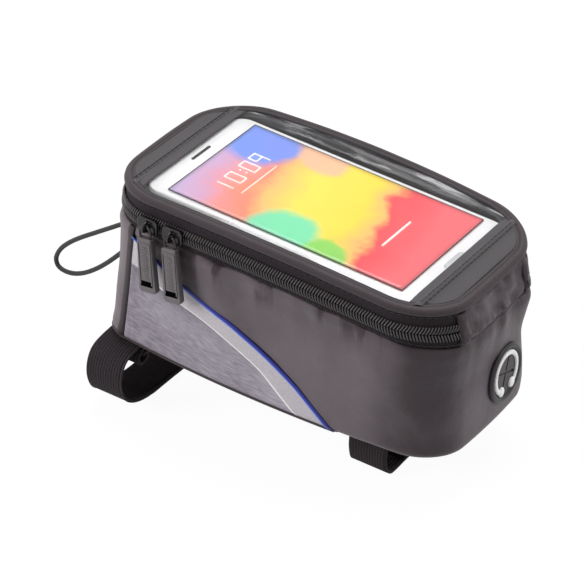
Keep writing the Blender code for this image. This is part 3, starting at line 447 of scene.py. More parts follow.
def clear_film():
    """Clear soft film: see-through, with a sharp sheen, and a painted white highlight where it rises over
    the edge.
    """
    made = Shade("clear_film", (0.9, 0.9, 0.92), 0.12)
    x, y = made.axes()[:2]
    along_folds = made.flat(made.math("MULTIPLY", x, 0.35), y)
    made.bump(made.noise(45.0, 3.0, along_folds), 1.2 * MM)
    made.bump(made.noise(110.0, 4.0, along_folds, 0.6), 0.5 * MM)
    rise = made.step(made.math("ABSOLUTE", y), 38.9 * MM, 41.0 * MM, 0.0, 1.0)
    near = made.math("LESS_THAN", y, 0.0)
    streak = made.noise(260.0, 3.0, made.flat(made.math("MULTIPLY", x, 0.12), y), 0.5)
    # Painted highlight: the near edge turns whiter towards the rear, and the far edge has pale painted
    # streaks
    along = made.node("MapRange", x, -58 * MM, 26 * MM, -0.75, 1.10).outputs[0]
    near_painted_highlight = made.math("MULTIPLY_ADD", made.math("SUBTRACT", streak, 0.5), 3.2, along)
    near_painted_highlight = made.math("MINIMUM", made.math("MAXIMUM", near_painted_highlight, 0.04), 0.93)
    far_painted_highlight = made.step(streak, 0.50, 0.68, 0.03, 0.50)
    level = made.math("ADD", made.math("MULTIPLY", near, near_painted_highlight),
                      made.math("MULTIPLY", made.math("SUBTRACT", 1.0, near), far_painted_highlight))
    gloss = made.node("BsdfGlossy")
    gloss.inputs["Roughness"].default_value = 0.08
    made.tree.links.new(made.height, gloss.inputs["Normal"])
    # White diffuse mixed in by the masks above: painted highlight
    painted_highlight_white = made.node("BsdfDiffuse", (0.88, 0.87, 0.90))
    sheen = made.math("MULTIPLY", made.node("Fresnel", 1.42).outputs[0], 0.8)
    clear = made.node("MixShader", sheen, made.node("BsdfTransparent").outputs[0], gloss.outputs[0])
    made.show(made.node("MixShader", made.math("MULTIPLY", rise, level), clear.outputs[0], painted_highlight_white.outputs[0]))
    return made.material


SCREEN_BANDS = ((0.0, (0.62, 0.50, 0.74)), (0.10, (0.72, 0.44, 0.62)), (0.20, (0.90, 0.36, 0.34)),
                (0.29, (0.93, 0.33, 0.22)), (0.36, (0.97, 0.60, 0.22)), (0.46, (0.98, 0.80, 0.14)),
                (0.68, (0.97, 0.76, 0.10)), (0.76, (0.96, 0.58, 0.20)), (0.80, (0.86, 0.12, 0.14)),
                (0.95, (0.92, 0.20, 0.22)))
# Each disc is a place along and across the screen, a radius in screen widths and a colour
SCREEN_DISCS = ((0.47, 0.06, 0.27, (0.20, 0.80, 0.52)), (0.66, 0.02, 0.17, (0.28, 0.72, 0.16)),
                (0.10, 0.86, 0.30, (0.20, 0.36, 0.90)), (0.34, 0.95, 0.20, (0.98, 0.58, 0.40)))


def screen_picture():
    """A lit screen with soft bands and discs of colour."""
    made = Shade("screen_picture", (0.9, 0.8, 0.2), 0.15, Emission_Strength=0.10)
    u, v = made.uv()
    wobble = made.math("MULTIPLY_ADD", made.noise(38.0, 4.0), 0.24, -0.12)
    slant = made.math("ADD", made.math("MULTIPLY_ADD", v, 0.10, u), wobble)
    color = made.gradient(slant, SCREEN_BANDS)
    for cu, cv, radius, tint in SCREEN_DISCS:
        du = made.math("MULTIPLY", made.math("SUBTRACT", u, cu), SCREEN_SHAPE)
        dv = made.math("SUBTRACT", v, cv)
        away = made.math("ADD", made.math("MULTIPLY", du, du), made.math("MULTIPLY", dv, dv))
        away = made.math("SUBTRACT", made.math("SQRT", away), 0.08)
        away = made.math("MULTIPLY_ADD", made.noise(70.0, 5.0), 0.16, away)
        inside = made.node("MapRange", away, radius, radius * 0.72, 0.0, 0.92).outputs[0]
        color = made.blend_colors(inside, color, tint)
    made.paint(color)
    made.tree.links.new(color, made.shader.inputs["Emission Color"])
    return made.material


black = coated_black()
hem = hem_black()
top = top_black()
tape = tape_black()
webbing = webbing_black()
hooks = loop_black()
grey = grey_weave()
silver = silver_tape()
blue = blue_piping()
lining = lining_cloth()
film = clear_film()
picture = screen_picture()
teeth_plastic = moulded_black("teeth_plastic", (0.060, 0.053, 0.054), 0.24)
pull_plastic = moulded_black("pull_plastic", (0.125, 0.112, 0.118), 0.55)
# Near black for the inside of the pull's slot and of the audio port: painted shade
painted_shade_black = Shade("painted_shade_black", (0.002, 0.002, 0.002), 0.9, Specular_IOR_Level=0.0).material
metal = Shade("slider_paint", (0.050, 0.047, 0.049), 0.26, 0.85).vary(0.4, 400.0).material
rubber = moulded_black("port_rubber", (0.012, 0.010, 0.011), 0.45)
membrane = moulded_black("membrane_rubber", (0.060, 0.054, 0.058), 0.6)
mark_white = Shade("mark_white", (0.97, 0.97, 0.97), 0.55).material
# The white body glows a little: painted light that brightens it
phone_white = Shade("phone_white", (0.95, 0.95, 0.96), 0.22, Emission_Color=(1.0, 1.0, 1.0, 1.0),
                    Emission_Strength=0.10).vary(0.03, 20.0).material
phone_trim = Shade("phone_trim", (0.62, 0.63, 0.65), 0.3, 0.9).material
thread_dark = Shade("thread_dark", (0.022, 0.020, 0.022), 0.7).material
glyph = Shade("glyph", (0.95, 0.92, 0.88), 0.4, Emission_Color=(1.0, 0.96, 0.9, 1.0),
              Emission_Strength=0.35).material
board = moulded_black("board_plastic", (0.03, 0.03, 0.03), 0.6)
foam = moulded_black("foam_grey", (0.10, 0.10, 0.10), 0.95, 500.0)


# Mesh helpers

def put(name, verts, faces, material, smooth=True, angle=None):
    mesh = bpy.data.meshes.new(name)
    mesh.from_pydata([tuple(v) for v in verts], [], faces)
    mesh.validate()
    mesh.materials.append(material)
    made = bpy.data.objects.new(name, mesh)
    bpy.context.scene.collection.objects.link(made)
    if smooth:
        mesh.shade_smooth()
        if angle:
            mesh.set_sharp_from_angle(angle=math.radians(angle))
    return made


def declare(made, body, slot, *replaced):
    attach(made, body)
    if replaced:
        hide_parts(*replaced)
    return made


def cloth(name, rows, material, thickness=0.0, closed=False, uvs=None, offset=-1.0):
    """Smooth sheet through rows of points; its UVs are metres along and up unless they are given."""
    points = np.array([[tuple(p) for p in row] for row in rows])
    count_rows, count = points.shape[:2]
    spans = count if closed else count - 1
    if uvs is None:
        along = np.zeros((count_rows, count))
        along[:, 1:] = np.cumsum(np.linalg.norm(np.diff(points, axis=1), axis=2), axis=1)
        up = np.zeros((count_rows, count))
        up[1:] = np.cumsum(np.linalg.norm(np.diff(points, axis=0), axis=2), axis=0)
        middle = count_rows // 2
        along = np.repeat(along[middle:middle + 1], count_rows, axis=0)
        uvs = np.stack([along, up], axis=2)
    faces = []
    coordinates = []
    for r in range(count_rows - 1):
        for c in range(spans):
            d = (c + 1) % count
            faces.append((r * count + c, r * count + d, (r + 1) * count + d, (r + 1) * count + c))
            wrap = 1.5 * MM if d == 0 else 0.0
            right = uvs[r, c] + (wrap, 0.0) if d == 0 else uvs[r, d]
            high_right = uvs[r + 1, c] + (wrap, 0.0) if d == 0 else uvs[r + 1, d]
            coordinates += [uvs[r, c], right, high_right, uvs[r + 1, c]]
    made = put(name, points.reshape(-1, 3), faces, material)
    layer = made.data.uv_layers.new(name="UVMap")
    layer.data.foreach_set("uv", np.array(coordinates, dtype=np.float32).ravel())
    if thickness:
        solid = made.modifiers.new("thickness", "SOLIDIFY")
        solid.thickness = thickness
        solid.offset = offset
        solid.use_even_offset = False
    return made


def baked(made):
    """Apply an object's modifiers to its mesh."""
    graph = bpy.context.evaluated_depsgraph_get()
    mesh = bpy.data.meshes.new_from_object(made.evaluated_get(graph), depsgraph=graph)
    made.modifiers.clear()
    made.data = mesh
    return made


def sweep(name, sections, material, closed=False):
    """Skin through closed section outlines, with UVs in metres along and shares round the section."""
    points = np.array([[tuple(p) for p in s] for s in sections])
    count_sections, count = points.shape[:2]
    centre = points.mean(axis=1)
    along = np.zeros(count_sections)
    along[1:] = np.cumsum(np.linalg.norm(np.diff(centre, axis=0), axis=1))
    faces = []
    coordinates = []
    last = count_sections if closed else count_sections - 1
    for s in range(last):
        n = (s + 1) % count_sections
        next_along = along[n] if n else along[s] + (along[1] - along[0])
        for c in range(count):
            d = (c + 1) % count
            faces.append((s * count + c, s * count + d, n * count + d, n * count + c))
            coordinates += [(along[s], c / count), (along[s], (c + 1) / count),
                            (next_along, (c + 1) / count), (next_along, c / count)]
    if not closed:
        faces.append(tuple(range(count))[::-1])
        faces.append(tuple((count_sections - 1) * count + c for c in range(count)))
        coordinates += [(0.0, 0.0)] * (2 * count)
    made = put(name, points.reshape(-1, 3), faces, material, angle=50)
    layer = made.data.uv_layers.new(name="UVMap")
    layer.data.foreach_set("uv", np.array(coordinates, dtype=np.float32).ravel())
    return made


def tube_sections(path, radius, sides=8):
    """Round sections along a path."""
    path = [Vector(p) for p in path]
    sections = []
    side = None
    for index, point in enumerate(path):
        ahead = path[min(index + 1, len(path) - 1)] - path[max(index - 1, 0)]
        ahead.normalize()
        if side is None:
            side = ahead.orthogonal().normalized()
        side = (side - ahead * side.dot(ahead)).normalized()
        up = ahead.cross(side)
        sections.append([point + (side * math.cos(a) + up * math.sin(a)) * radius
                         for a in (2 * math.pi * k / sides for k in range(sides))])
    return sections


def bars(name, specs, material, bevel=0.0):
    """Many small blocks in one mesh; each spec is a centre, three axes and three half sizes."""
    corners = ((-1, -1, -1), (1, -1, -1), (1, 1, -1), (-1, 1, -1),
               (-1, -1, 1), (1, -1, 1), (1, 1, 1), (-1, 1, 1))
    sides = ((0, 3, 2, 1), (4, 5, 6, 7), (0, 1, 5, 4), (1, 2, 6, 5), (2, 3, 7, 6), (3, 0, 4, 7))
    verts = []
    faces = []
    for centre, axes, sizes in specs:
        base = len(verts)
        for corner in corners:
            point = Vector(centre)
            for value, axis, size in zip(corner, axes, sizes):
                point = point + axis * (value * size)
            verts.append(point)
        faces += [tuple(base + k for k in side) for side in sides]
    made = put(name, verts, faces, material, smooth=bool(bevel))
    if bevel:
        rounding = made.modifiers.new("bevel", "BEVEL")
        rounding.width = bevel
        rounding.segments = 2
        rounding.limit_method = "ANGLE"
    return made


def capsules(name, specs, material, sides=6):
    """Many short rounded threads in one mesh; each spec is a start, a stop and a radius."""
    verts = []
    faces = []
    for start, stop, radius in specs:
        start, stop = Vector(start), Vector(stop)
        ahead = (stop - start).normalized()
        side = ahead.orthogonal().normalized()
        up = ahead.cross(side)
        cap = ahead * radius * 0.5
        base = len(verts)
        for point, share in ((start - cap, 0.45), (start, 1.0), (stop, 1.0), (stop + cap, 0.45)):
            for k in range(sides):
                angle = 2 * math.pi * k / sides
                verts.append(point + (side * math.cos(angle) + up * math.sin(angle)) * radius * share)
        for low in (base, base + sides, base + 2 * sides):
            for k in range(sides):
                j = (k + 1) % sides
                faces.append((low + k, low + j, low + sides + j, low + sides + k))
        faces.append(tuple(base + k for k in range(sides))[::-1])
        faces.append(tuple(base + 3 * sides + k for k in range(sides)))
    return put(name, verts, faces, material)


def stitches(name, path, body, slot, radius=0.28 * MM):
    """A row of stitches along a path of points."""
    path = [Vector(p) for p in path]
    lengths = [0.0]
    for a, b in zip(path, path[1:]):
        lengths.append(lengths[-1] + (b - a).length)

    def at(s):
        s = max(0.0, min(s, lengths[-1]))
        k = max(0, min(len(path) - 2, int(np.searchsorted(lengths, s)) - 1))
        share = (s - lengths[k]) / max(1e-9, lengths[k + 1] - lengths[k])
        return path[k].lerp(path[k + 1], share)

    specs = []
    s = 0.5 * STITCH_PITCH
    while s + STITCH_LENGTH < lengths[-1]:
        specs.append((at(s), at(s + STITCH_LENGTH), radius))
        s += STITCH_PITCH
    return declare(capsules(name, specs, thread_dark), body, slot)


def smooth_step(value):
    value = max(0.0, min(1.0, value))
    return value * value * (3 - 2 * value)


def ripple(x, y, z):
    """Soft noise between -1 and 1 from three numbers."""
    return noise.noise(Vector((x, y, z)))


# Walls

ROLL_SHARE = 0.10


def wall_level(share, x):
    """Height and inset at a share of the wall, from its rolled lower edge to the zip's lower seam."""
    if share < ROLL_SHARE:
        angle = math.pi / 2 * (1 - share / ROLL_SHARE)
        return BOTTOM_ROLL * (1 - math.sin(angle)), BOTTOM_ROLL * (1 - math.cos(angle))
    part = (share - ROLL_SHARE) / (1 - ROLL_SHARE)
    return BOTTOM_ROLL + (wall_top(x) - BOTTOM_ROLL) * part, 0.0


def swell(point, drop, strength=1.0):
    """How far the cloth stands out: soft waves, gathers under the zip and the seam's tuck."""
    soft = noise.noise(point * 20.0 + Vector((3.1, 0, 0))) * 1.7 * MM
    soft += noise.noise(point * 52.0 + Vector((0, 7.7, 0))) * 0.5 * MM
    along = Vector((point.x * 75.0, point.y * 75.0, point.z * 8.0))
    gather = noise.noise(along) + noise.noise(along * 1.9 + Vector((5, 0, 0))) * 0.5
    reach = math.exp(-drop / (13.0 * MM))
    rise = 0.55 * MM * math.exp(-((drop - 3.5 * MM) / (3.5 * MM)) ** 2)
    tuck = -0.9 * MM * math.exp(-drop / (0.9 * MM))
    return (soft + gather * reach * 2.6 * MM) * strength * (1 - math.exp(-drop / (1.2 * MM))) + rise + tuck


def wall_vertex(t, share, out=0.0, strength=1.0):
    x = outline(t, SEAM_HEIGHT / 2)[0]
    height, inset = wall_level(share, x)
    point = wall_point(t, height)
    moved = swell(point, max(0.0, wall_top(x) - height), strength) * smooth_step(height / (12 * MM))
    return wall_point(t, height, out - inset + moved)


def edge_t(line, share, shift=0.0, square=False):
    """Outline place of a drawn line at a share of the wall, moved along the bag or square to the line."""
    x = -40 * MM
    t = 0.0
    for _ in range(4):
        height = wall_level(share, x)[0]
        moved = shift
        if square:
            slope = (line_at(line, height + MM) - line_at(line, height - MM)) / (2 * MM)
            moved *= math.sqrt(1 + slope * slope)
        t = near_place(line_at(line, height) + moved, height)
        x = outline(t, SEAM_HEIGHT / 2)[0]
    return t


def mirrored(rows):
    return [[Vector((p.x, -p.y, p.z)) for p in reversed(row)] for row in rows]


def both_sides(part, form, rows, material, thickness, slot, uvs=None):
    """Cloth on the near side and its mirror on the far side, each in place of its CAD node."""
    for side in ("near", "far"):
        far = side == "far"
        side_uvs = uvs[:, ::-1] if far and uvs is not None else uvs
        made = cloth("%s_%s_%s" % (part, side, form), mirrored(rows) if far else rows, material, thickness,
                     uvs=side_uvs)
        declare(made, "bag", slot, "%s_%s" % (part, side))


def share_at(height, x):
    """Share of the wall at a height above its rolled edge."""
    return ROLL_SHARE + (1 - ROLL_SHARE) * (height - BOTTOM_ROLL) / (wall_top(x) - BOTTOM_ROLL)


PIPE_HALF = 1.55 * MM
shares = list(between(0.0, 0.1, 6)) + list(between(0.1, 0.94, 46))[1:] + list(between(0.94, 1.0, 9))[1:]


def build_side_wall():
    rows = []
    for share in shares:
        start = max(edge_t(PIPING_LINE, share, PIPE_HALF * 0.8, True), edge_t(BINDING_LINE, share, GAP))
        ts = [*between(start, 1.0, 64)[:-1], *between(1.0, 2.0, 26)[:-1], *between(2.0, 2.5, 12)]
        near = [wall_vertex(t, share) for t in ts]
        rows.append(near + [wall_vertex(PIECES / 2 - t, share) for t in reversed(ts[:-1])])
    declare(cloth("side_wall_cloth", rows, black, SKIN), "bag", "black_fabric", "side_wall")


def build_front_panel():
    rows = []
    for share in shares:
        height = wall_level(share, -90 * MM)[0]
        corner = plan(height)[3]
        stop = edge_t(BINDING_LINE, share) - 2 * 3.6 * MM / (math.pi * corner)
        near = [wall_vertex(t, share, strength=0.7) for t in between(-2.5, stop, 30)]
        far = [wall_vertex(-PIECES / 2 - t, share, strength=0.7) for t in between(-2.5, stop, 30)]
        rows.append(list(reversed(far[1:])) + near)
    declare(cloth("front_panel_cloth", rows, black, SKIN), "bag", "black_fabric", "front_panel")


def build_edge_bindings():
    rows = []
    for share in between(WALL_FOOT, 1.0, 60):
        height = wall_level(share, -80 * MM)[0]
        corner = plan(height)[3]
        stop = edge_t(BINDING_LINE, share)
        start = stop - 2 * 4.2 * MM / (math.pi * corner)
        row = []
        for k, t in enumerate(between(start, stop, 9)):
            s = k / 8 * 2 - 1
            row.append(wall_vertex(t, share, 0.95 * MM * (1 - s ** 4) - 0.1 * MM, 0.5))
        rows.append(row)
    both_sides("edge_binding", "tape", rows, hem, SKIN, "black_fabric")


def build_grey_panels():
    rows = []
    top_share = share_at(48.3 * MM, -75 * MM)
    for share in list(between(WALL_FOOT, 0.1, 5)) + list(between(0.1, top_share, 40))[1:]:
        start = edge_t(BINDING_LINE, share)
        stop = max(edge_t(STRIPE_LINE, share, 0.2 * MM), start + 0.004)
        rows.append([wall_vertex(t, share, 0.0, TRIM_SWELL) for t in between(start, stop, 70)])
    both_sides("grey_panel", "cloth", rows, grey, SKIN, "grey_fabric")


def build_stripes():
    rows = []
    uvs = []
    levels = list(between(WALL_FOOT, 0.1, 5)) + list(between(0.1, share_at(62.6 * MM, -75 * MM), 60))[1:]
    for share in levels:
        start = edge_t(BINDING_LINE, share)
        height = wall_level(share, -40 * MM)[0]
        # Above the grey panel the stripe starts at the binding
        cut = height > 48.4 * MM
        low = start if cut else max(edge_t(STRIPE_LINE, share), start)
        high = max(edge_t(PIPING_LINE, share, -PIPE_HALF * 0.8, True), low + 0.003)
        rows.append([wall_vertex(t, share, 0.12 * MM, TRIM_SWELL) for t in between(low, high, 16)])
        uvs.append([(height * 2.0, 0.3 + k / 15 * 0.7 if cut else k / 15) for k in range(16)])
    both_sides("stripe", "tape", rows, silver, 0.7 * MM, "silver_fabric", np.array(uvs))


def build_piping():
    sections = []
    for share in between(WALL_FOOT, share_at(63.5 * MM, -76 * MM), 90):
        section = []
        low = edge_t(PIPING_LINE, share, -PIPE_HALF, True)
        high = edge_t(PIPING_LINE, share, PIPE_HALF, True)
        for k in range(9):
            s = k / 8 * 2 - 1
            t = low + (high - low) * (s + 1) / 2
            out = 1.0 * MM * math.sqrt(max(0.0, 1 - s * s)) - 0.05 * MM
            section.append(wall_vertex(t, share, out, TRIM_SWELL))
        sections.append(section)
    uvs = np.array([[(r * 1.0 * MM, c / 8) for c in range(9)] for r in range(len(sections))])
    both_sides("piping", "cord", sections, blue, 0.5 * MM, "blue_fabric", uvs)


def build_base_trim():
    """Dark seam along the lower edge, from the piping round the front end."""
    stop = near_place(41 * MM, 0.0)
    path = [wall_vertex(t, 0.055, 0.25 * MM, 0.5) for t in between(-PIECES / 2 - stop, stop, 260)]
    made = sweep("base_edge_trim", tube_sections(path, 0.85 * MM, 8), hem)
    declare(made, "bag", "black_fabric")


def ring_sheet(name, inset, levels, material, thickness, slot, replaced):
    """Inner layer all the way round, between shares of the wall."""
    rows = []
    for share in levels:
        row = []
        for t in between(0.0, PIECES, 241)[:-1]:
            x = outline(t, SEAM_HEIGHT / 2)[0]
            foot = 0.9 * MM * (1 - smooth_step(share / 0.08))
            row.append(wall_point(t, 3.4 * MM + (wall_top(x) * 0.985 - 3.4 * MM) * share, -inset - foot))
        rows.append(row)
    declare(cloth(name, rows, material, thickness, closed=True), "bag", slot, replaced)


# Zip and rear end

def build_zip():
    start, stop = zip_ends()
    ts = list(between(start, stop, 420))
    for side, low, high, body in (("upper", 8.7, 0.3, "lid"), ("lower", 16.4, 10.5, "bag")):
        rows = [[seam_point(t, drop, -0.35 * MM) for t in ts] for drop in between(low * MM, high * MM, 7)]
        tape_cloth = cloth(side + "_zip_tape_cloth", rows, tape, 0.6 * MM)
        declare(tape_cloth, body, "webbing", side + "_zip_tape")
    # Centre line of the chain, walked in even steps
    last = CHAIN_STEPS - 1
    path = [seam_point(t, SPLIT_DROP) for t in between(start, stop, CHAIN_STEPS)]
    lengths = np.concatenate([[0.0], np.cumsum([(b - a).length for a, b in zip(path, path[1:])])])
    for side, sign, body in (("upper", 1, "lid"), ("lower", -1, "bag")):
        specs = []
        s = TOOTH_PITCH * (1.0 if sign > 0 else 1.5)
        while s < lengths[-1] - TOOTH_PITCH:
            k = int(np.searchsorted(lengths, s)) - 1
            t = start + (stop - start) * (k + (s - lengths[k]) / (lengths[k + 1] - lengths[k])) / last
            along = (path[min(k + 2, last)] - path[max(k - 1, 0)]).normalized()
            up = Vector((0, 0, 1)) - along * along.z
            up.normalize()
            centre = seam_point(t, SPLIT_DROP - sign * 1.95 * MM, 0.25 * MM)
            lean = (up * math.cos(TOOTH_LEAN) + along * (sign * math.sin(TOOTH_LEAN))).normalized()
            bulge = along.cross(up) * 0.75 * MM
            points = [centre + lean * a * MM + bulge * (1 - (a / TOOTH_HALF) ** 2)
                      for a in (-TOOTH_HALF, -0.75, 0.75, TOOTH_HALF)]
            specs += [(first, second, 0.46 * MM) for first, second in zip(points, points[1:])]
            s += TOOTH_PITCH
        coil = capsules(side + "_teeth_coil", specs, teeth_plastic, 5)
        declare(coil, body, "black_plastic", side + "_teeth")
    stitches("upper_tape_stitches", [seam_point(t, 1.1 * MM) for t in ts], "lid", "webbing")
    stitches("lower_tape_stitches", [seam_point(t, 15.4 * MM) for t in ts], "bag", "webbing", 0.22 * MM)


def strip_rows(y0, y1, low, high, out_fn, count_rows, count):
    rows = []
    for r, drop in enumerate(between(low, high, count_rows)):
        row = []
        for c, y in enumerate(between(y0, y1, count)):
            row.append(seam_point(end_place(y), drop, out_fn(c / (count - 1), r / (count_rows - 1))))
        rows.append(row)
    return rows


def fold_over_hinge(made, node):
    """Bake a cloth's place into its mesh, in place of its CAD node."""
    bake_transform(made)
    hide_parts(node)


def build_rear_end():
    inner = TAB_PLACE - TAB_HALF
    outer = TAB_PLACE + TAB_HALF

    def strip_out(c, r):
        edge = min(r, 1 - r)
        dent = -1.3 * MM * math.exp(-((c - 0.52) / 0.10) ** 2 - ((r - 0.45) / 0.3) ** 2)
        fold = ripple(c * 7.0 + r * 1.6, r * 2.6, 4.0) * 2.0 * MM
        fold += ripple(c * 24.0, r * 2.0, 8.0) * 0.9 * MM * (1 - smooth_step(r / 0.6))
        return (-0.6 + 1.0 * smooth_step(edge / 0.16)) * MM + dent + fold * smooth_step(edge / 0.12)

    rows = strip_rows(-inner - 2 * MM, inner + 2 * MM, WALL_DROP - GAP, 0.1 * MM, strip_out, 26, 60)
    fold_over_hinge(baked(cloth("hinge_strip_cloth", rows, black, 0.8 * MM)), "hinge_strip")
    # Sewn seam that closes the slit between the strip and the wall; its dark cloth also paints the shadow
    # under the strip's lower edge
    line = [seam_point(end_place(y), WALL_DROP - 0.1 * MM, -1.3 * MM) for y in between(-outer, outer, 40)]
    declare(sweep("hinge_strip_seam", tube_sections(line, 0.9 * MM), hem), "bag", "black_fabric")

    def tab_out(c, r):
        side = smooth_step(min(c, 1 - c) * 2 / 0.6)
        end = smooth_step(min(r / 0.10, (1 - r) / 0.22))
        crease = ripple(c * 3.0, r * 7.0, 1.0) * 0.35 * MM
        return 0.25 * MM + (2.0 * MM + crease) * math.sqrt(side * end + 1e-6)

    for name, y0, y1 in (("near", -outer, -inner), ("far", inner, outer)):
        rows = strip_rows(y0, y1, WALL_DROP - 0.6 * MM, 1.0 * MM, tab_out, 22, 13)
        for side, column in (("a", 2), ("b", 10)):
            line = [row[column] + Vector((0.15 * MM, 0, 0)) for row in rows[2:11]]
            stitches("zip_tab_%s_stitches_%s" % (name, side), line, "bag", "black_fabric", 0.25 * MM)
        fold_over_hinge(baked(cloth("zip_tab_%s_fold" % name, rows, black, 0.8 * MM)), "zip_tab_" + name)


# Lid

BINDING_PROFILE = (
    (0.0, 0.7), (-0.5, 1.1), (-1.3, 1.3), (-2.2, 1.15), (-3.0, 0.65), (-3.6, -0.15), (-3.85, -1.1),
    (-3.6, -1.9), (-3.15, -2.15), (-3.5, -2.5), (-3.75, -3.1), (-3.65, -3.8), (-3.0, -4.2), (-1.8, -4.2),
    (-0.5, -3.6), (0.1, -2.0),
)


def build_binding():
    ts = between(0.0, PIECES, 361)[:-1]
    sections = []
    for t in ts:
        wave = noise.noise(seam_point(t, 0.0) * 45.0) * 0.22 * MM
        sections.append([seam_point(t, drop * MM, out * MM + (wave if out > -1 else 0))
                         for drop, out in BINDING_PROFILE])
    declare(sweep("lid_binding_tape", sections, hem, closed=True), "lid", "webbing", "lid_binding")
    # Dark cords either side of the binding's inner band: painted shade in the seam grooves
    for name, rise, back in (("outer", -3.25, -2.1), ("inner", -3.3, -4.25)):
        line = [seam_point(t, rise * MM, back * MM) for t in ts]
        seam = sweep("lid_binding_seam_" + name, tube_sections(line + line[:1], 0.38 * MM, 6), thread_dark)
        declare(seam, "lid", "webbing")
    # Butt joint of the tape on the far side
    t = PIECES / 2 + 0.10
    joint = [[seam_point(t, drop * MM, (out + 0.05 * (1 if out > -1 else -1)) * MM) + Vector((dx, 0, 0))
              for drop, out in BINDING_PROFILE[1:13]] for dx in (-0.35 * MM, 0.35 * MM)]
    declare(cloth("lid_binding_joint", joint, thread_dark), "lid", "webbing")


def phone_plane(x):
    return PHONE_TOP - SEAM_FALL * x


def lid_top(x, y):
    over_phone = phone_plane(x) + 0.7 * MM
    at_rim = seam_height(x) + LID_TOP_RISE
    share = smooth_step((abs(y) - PHONE_WIDTH / 2) / (6.0 * MM))
    beyond = max(0.0, abs(x - PHONE_X) - PHONE_LENGTH / 2) / (4.0 * MM)
    share = max(share, smooth_step(beyond))
    return over_phone + (at_rim - over_phone) * share


def lid_half(x):
    """Half width of the lid's top inside its binding, at a place along the bag."""
    return abs(seam_point(near_place(x, SEAM_HEIGHT), -LID_TOP_RISE, -BINDING_IN).y)


def lid_rows(start, stop, columns, across, lift):
    """Rows over the lid's top, from its near side to its far side; lift raises a place."""
    rows = []
    for k in range(across + 1):
        row = []
        for t in between(start, stop, columns):
            near = seam_point(t, -LID_TOP_RISE, -BINDING_IN + 0.2 * MM)
            y = near.y * (1 - 2 * k / across)
            row.append(Vector((near.x, y, lid_top(near.x, y) + lift(near.x, y))))
        rows.append(row)
    return rows


def build_lid_skins():
    front = near_place(WINDOW_FRONT, SEAM_HEIGHT)
    rear = near_place(WINDOW_REAR, SEAM_HEIGHT)

    def film_lift(x, y):
        edge = smooth_step((abs(y) - 37 * MM) / (5 * MM))
        return (ripple(x * 28.0, y * 90.0, 2.0) * 0.5 + ripple(x * 75.0, y * 150.0, 5.0) * 0.22) * MM * edge

    def puff(x, y):
        side = smooth_step((44 * MM - abs(y)) / (12 * MM))
        return 0.5 * MM * side + ripple(x * 40, y * 40, 1.0) * 0.15 * MM

    window = cloth("clear_window_film", lid_rows(front, rear, 150, 110, film_lift), film)
    declare(window, "lid", "clear_film", "clear_window")
    for name, start, stop in (("front", -1.97, front + 0.004), ("rear", rear - 0.004, 1.97)):
        panel = cloth("lid_panel_%s_cloth" % name, lid_rows(start, stop, 30, 60, puff), top, 0.8 * MM)
        declare(panel, "lid", "black_fabric", "lid_panel_" + name)
    # Folded edges of the end panels, sewn over the film
    for name, x, sign in (("front", WINDOW_FRONT, 1), ("rear", WINDOW_REAR, -1)):
        rows = []
        for k in range(9):
            s = k / 8
            px = x + sign * (0.9 - 3.6 * s) * MM
            limit = lid_half(px)
            row = [Vector((px, y, lid_top(px, y) + (0.3 + 0.55 * math.sin(math.pi * s) ** 0.6) * MM))
                   for y in between(-limit, limit, 60)]
            rows.append(row if sign > 0 else row[::-1])
        declare(cloth("window_hem_" + name, rows[::-1], top), "lid", "black_fabric")
        for row_name, away, lift in (("a", 1.1, 0.9), ("b", 3.0, 0.75)):
            px = x - sign * away * MM
            limit = lid_half(px) - 1 * MM
            line = [Vector((px, y, lid_top(px, y) + lift * MM)) for y in between(-limit, limit, 60)]
            stitches("window_stitches_%s_%s" % (name, row_name), line, "lid", "black_fabric", 0.24 * MM)


# Phone

def rounded_outline(length, width, corner):
    points = []
    for sx, sy, turn in ((1, -1, -90), (1, 1, 0), (-1, 1, 90), (-1, -1, 180)):
        for step in range(CORNER_STEPS + 1):
            angle = math.radians(turn + 90 * step / CORNER_STEPS)
            points.append((sx * (length / 2 - corner) + corner * math.cos(angle),
                           sy * (width / 2 - corner) + corner * math.sin(angle)))
    return points


def plate(name, length, width, corner, levels, material, middle=PHONE_X):
    """Rounded plate parallel to the phone's face; levels are (height, inset) from the bottom up."""
    sections = []
    for level, inset in levels:
        loop = []
        for x, y in rounded_outline(length - 2 * inset, width - 2 * inset, max(corner - inset, 0.2 * MM)):
            loop.append(Vector((x + middle, y, phone_plane(x + middle) + level)))
        sections.append(loop)
    return sweep(name, sections, material)


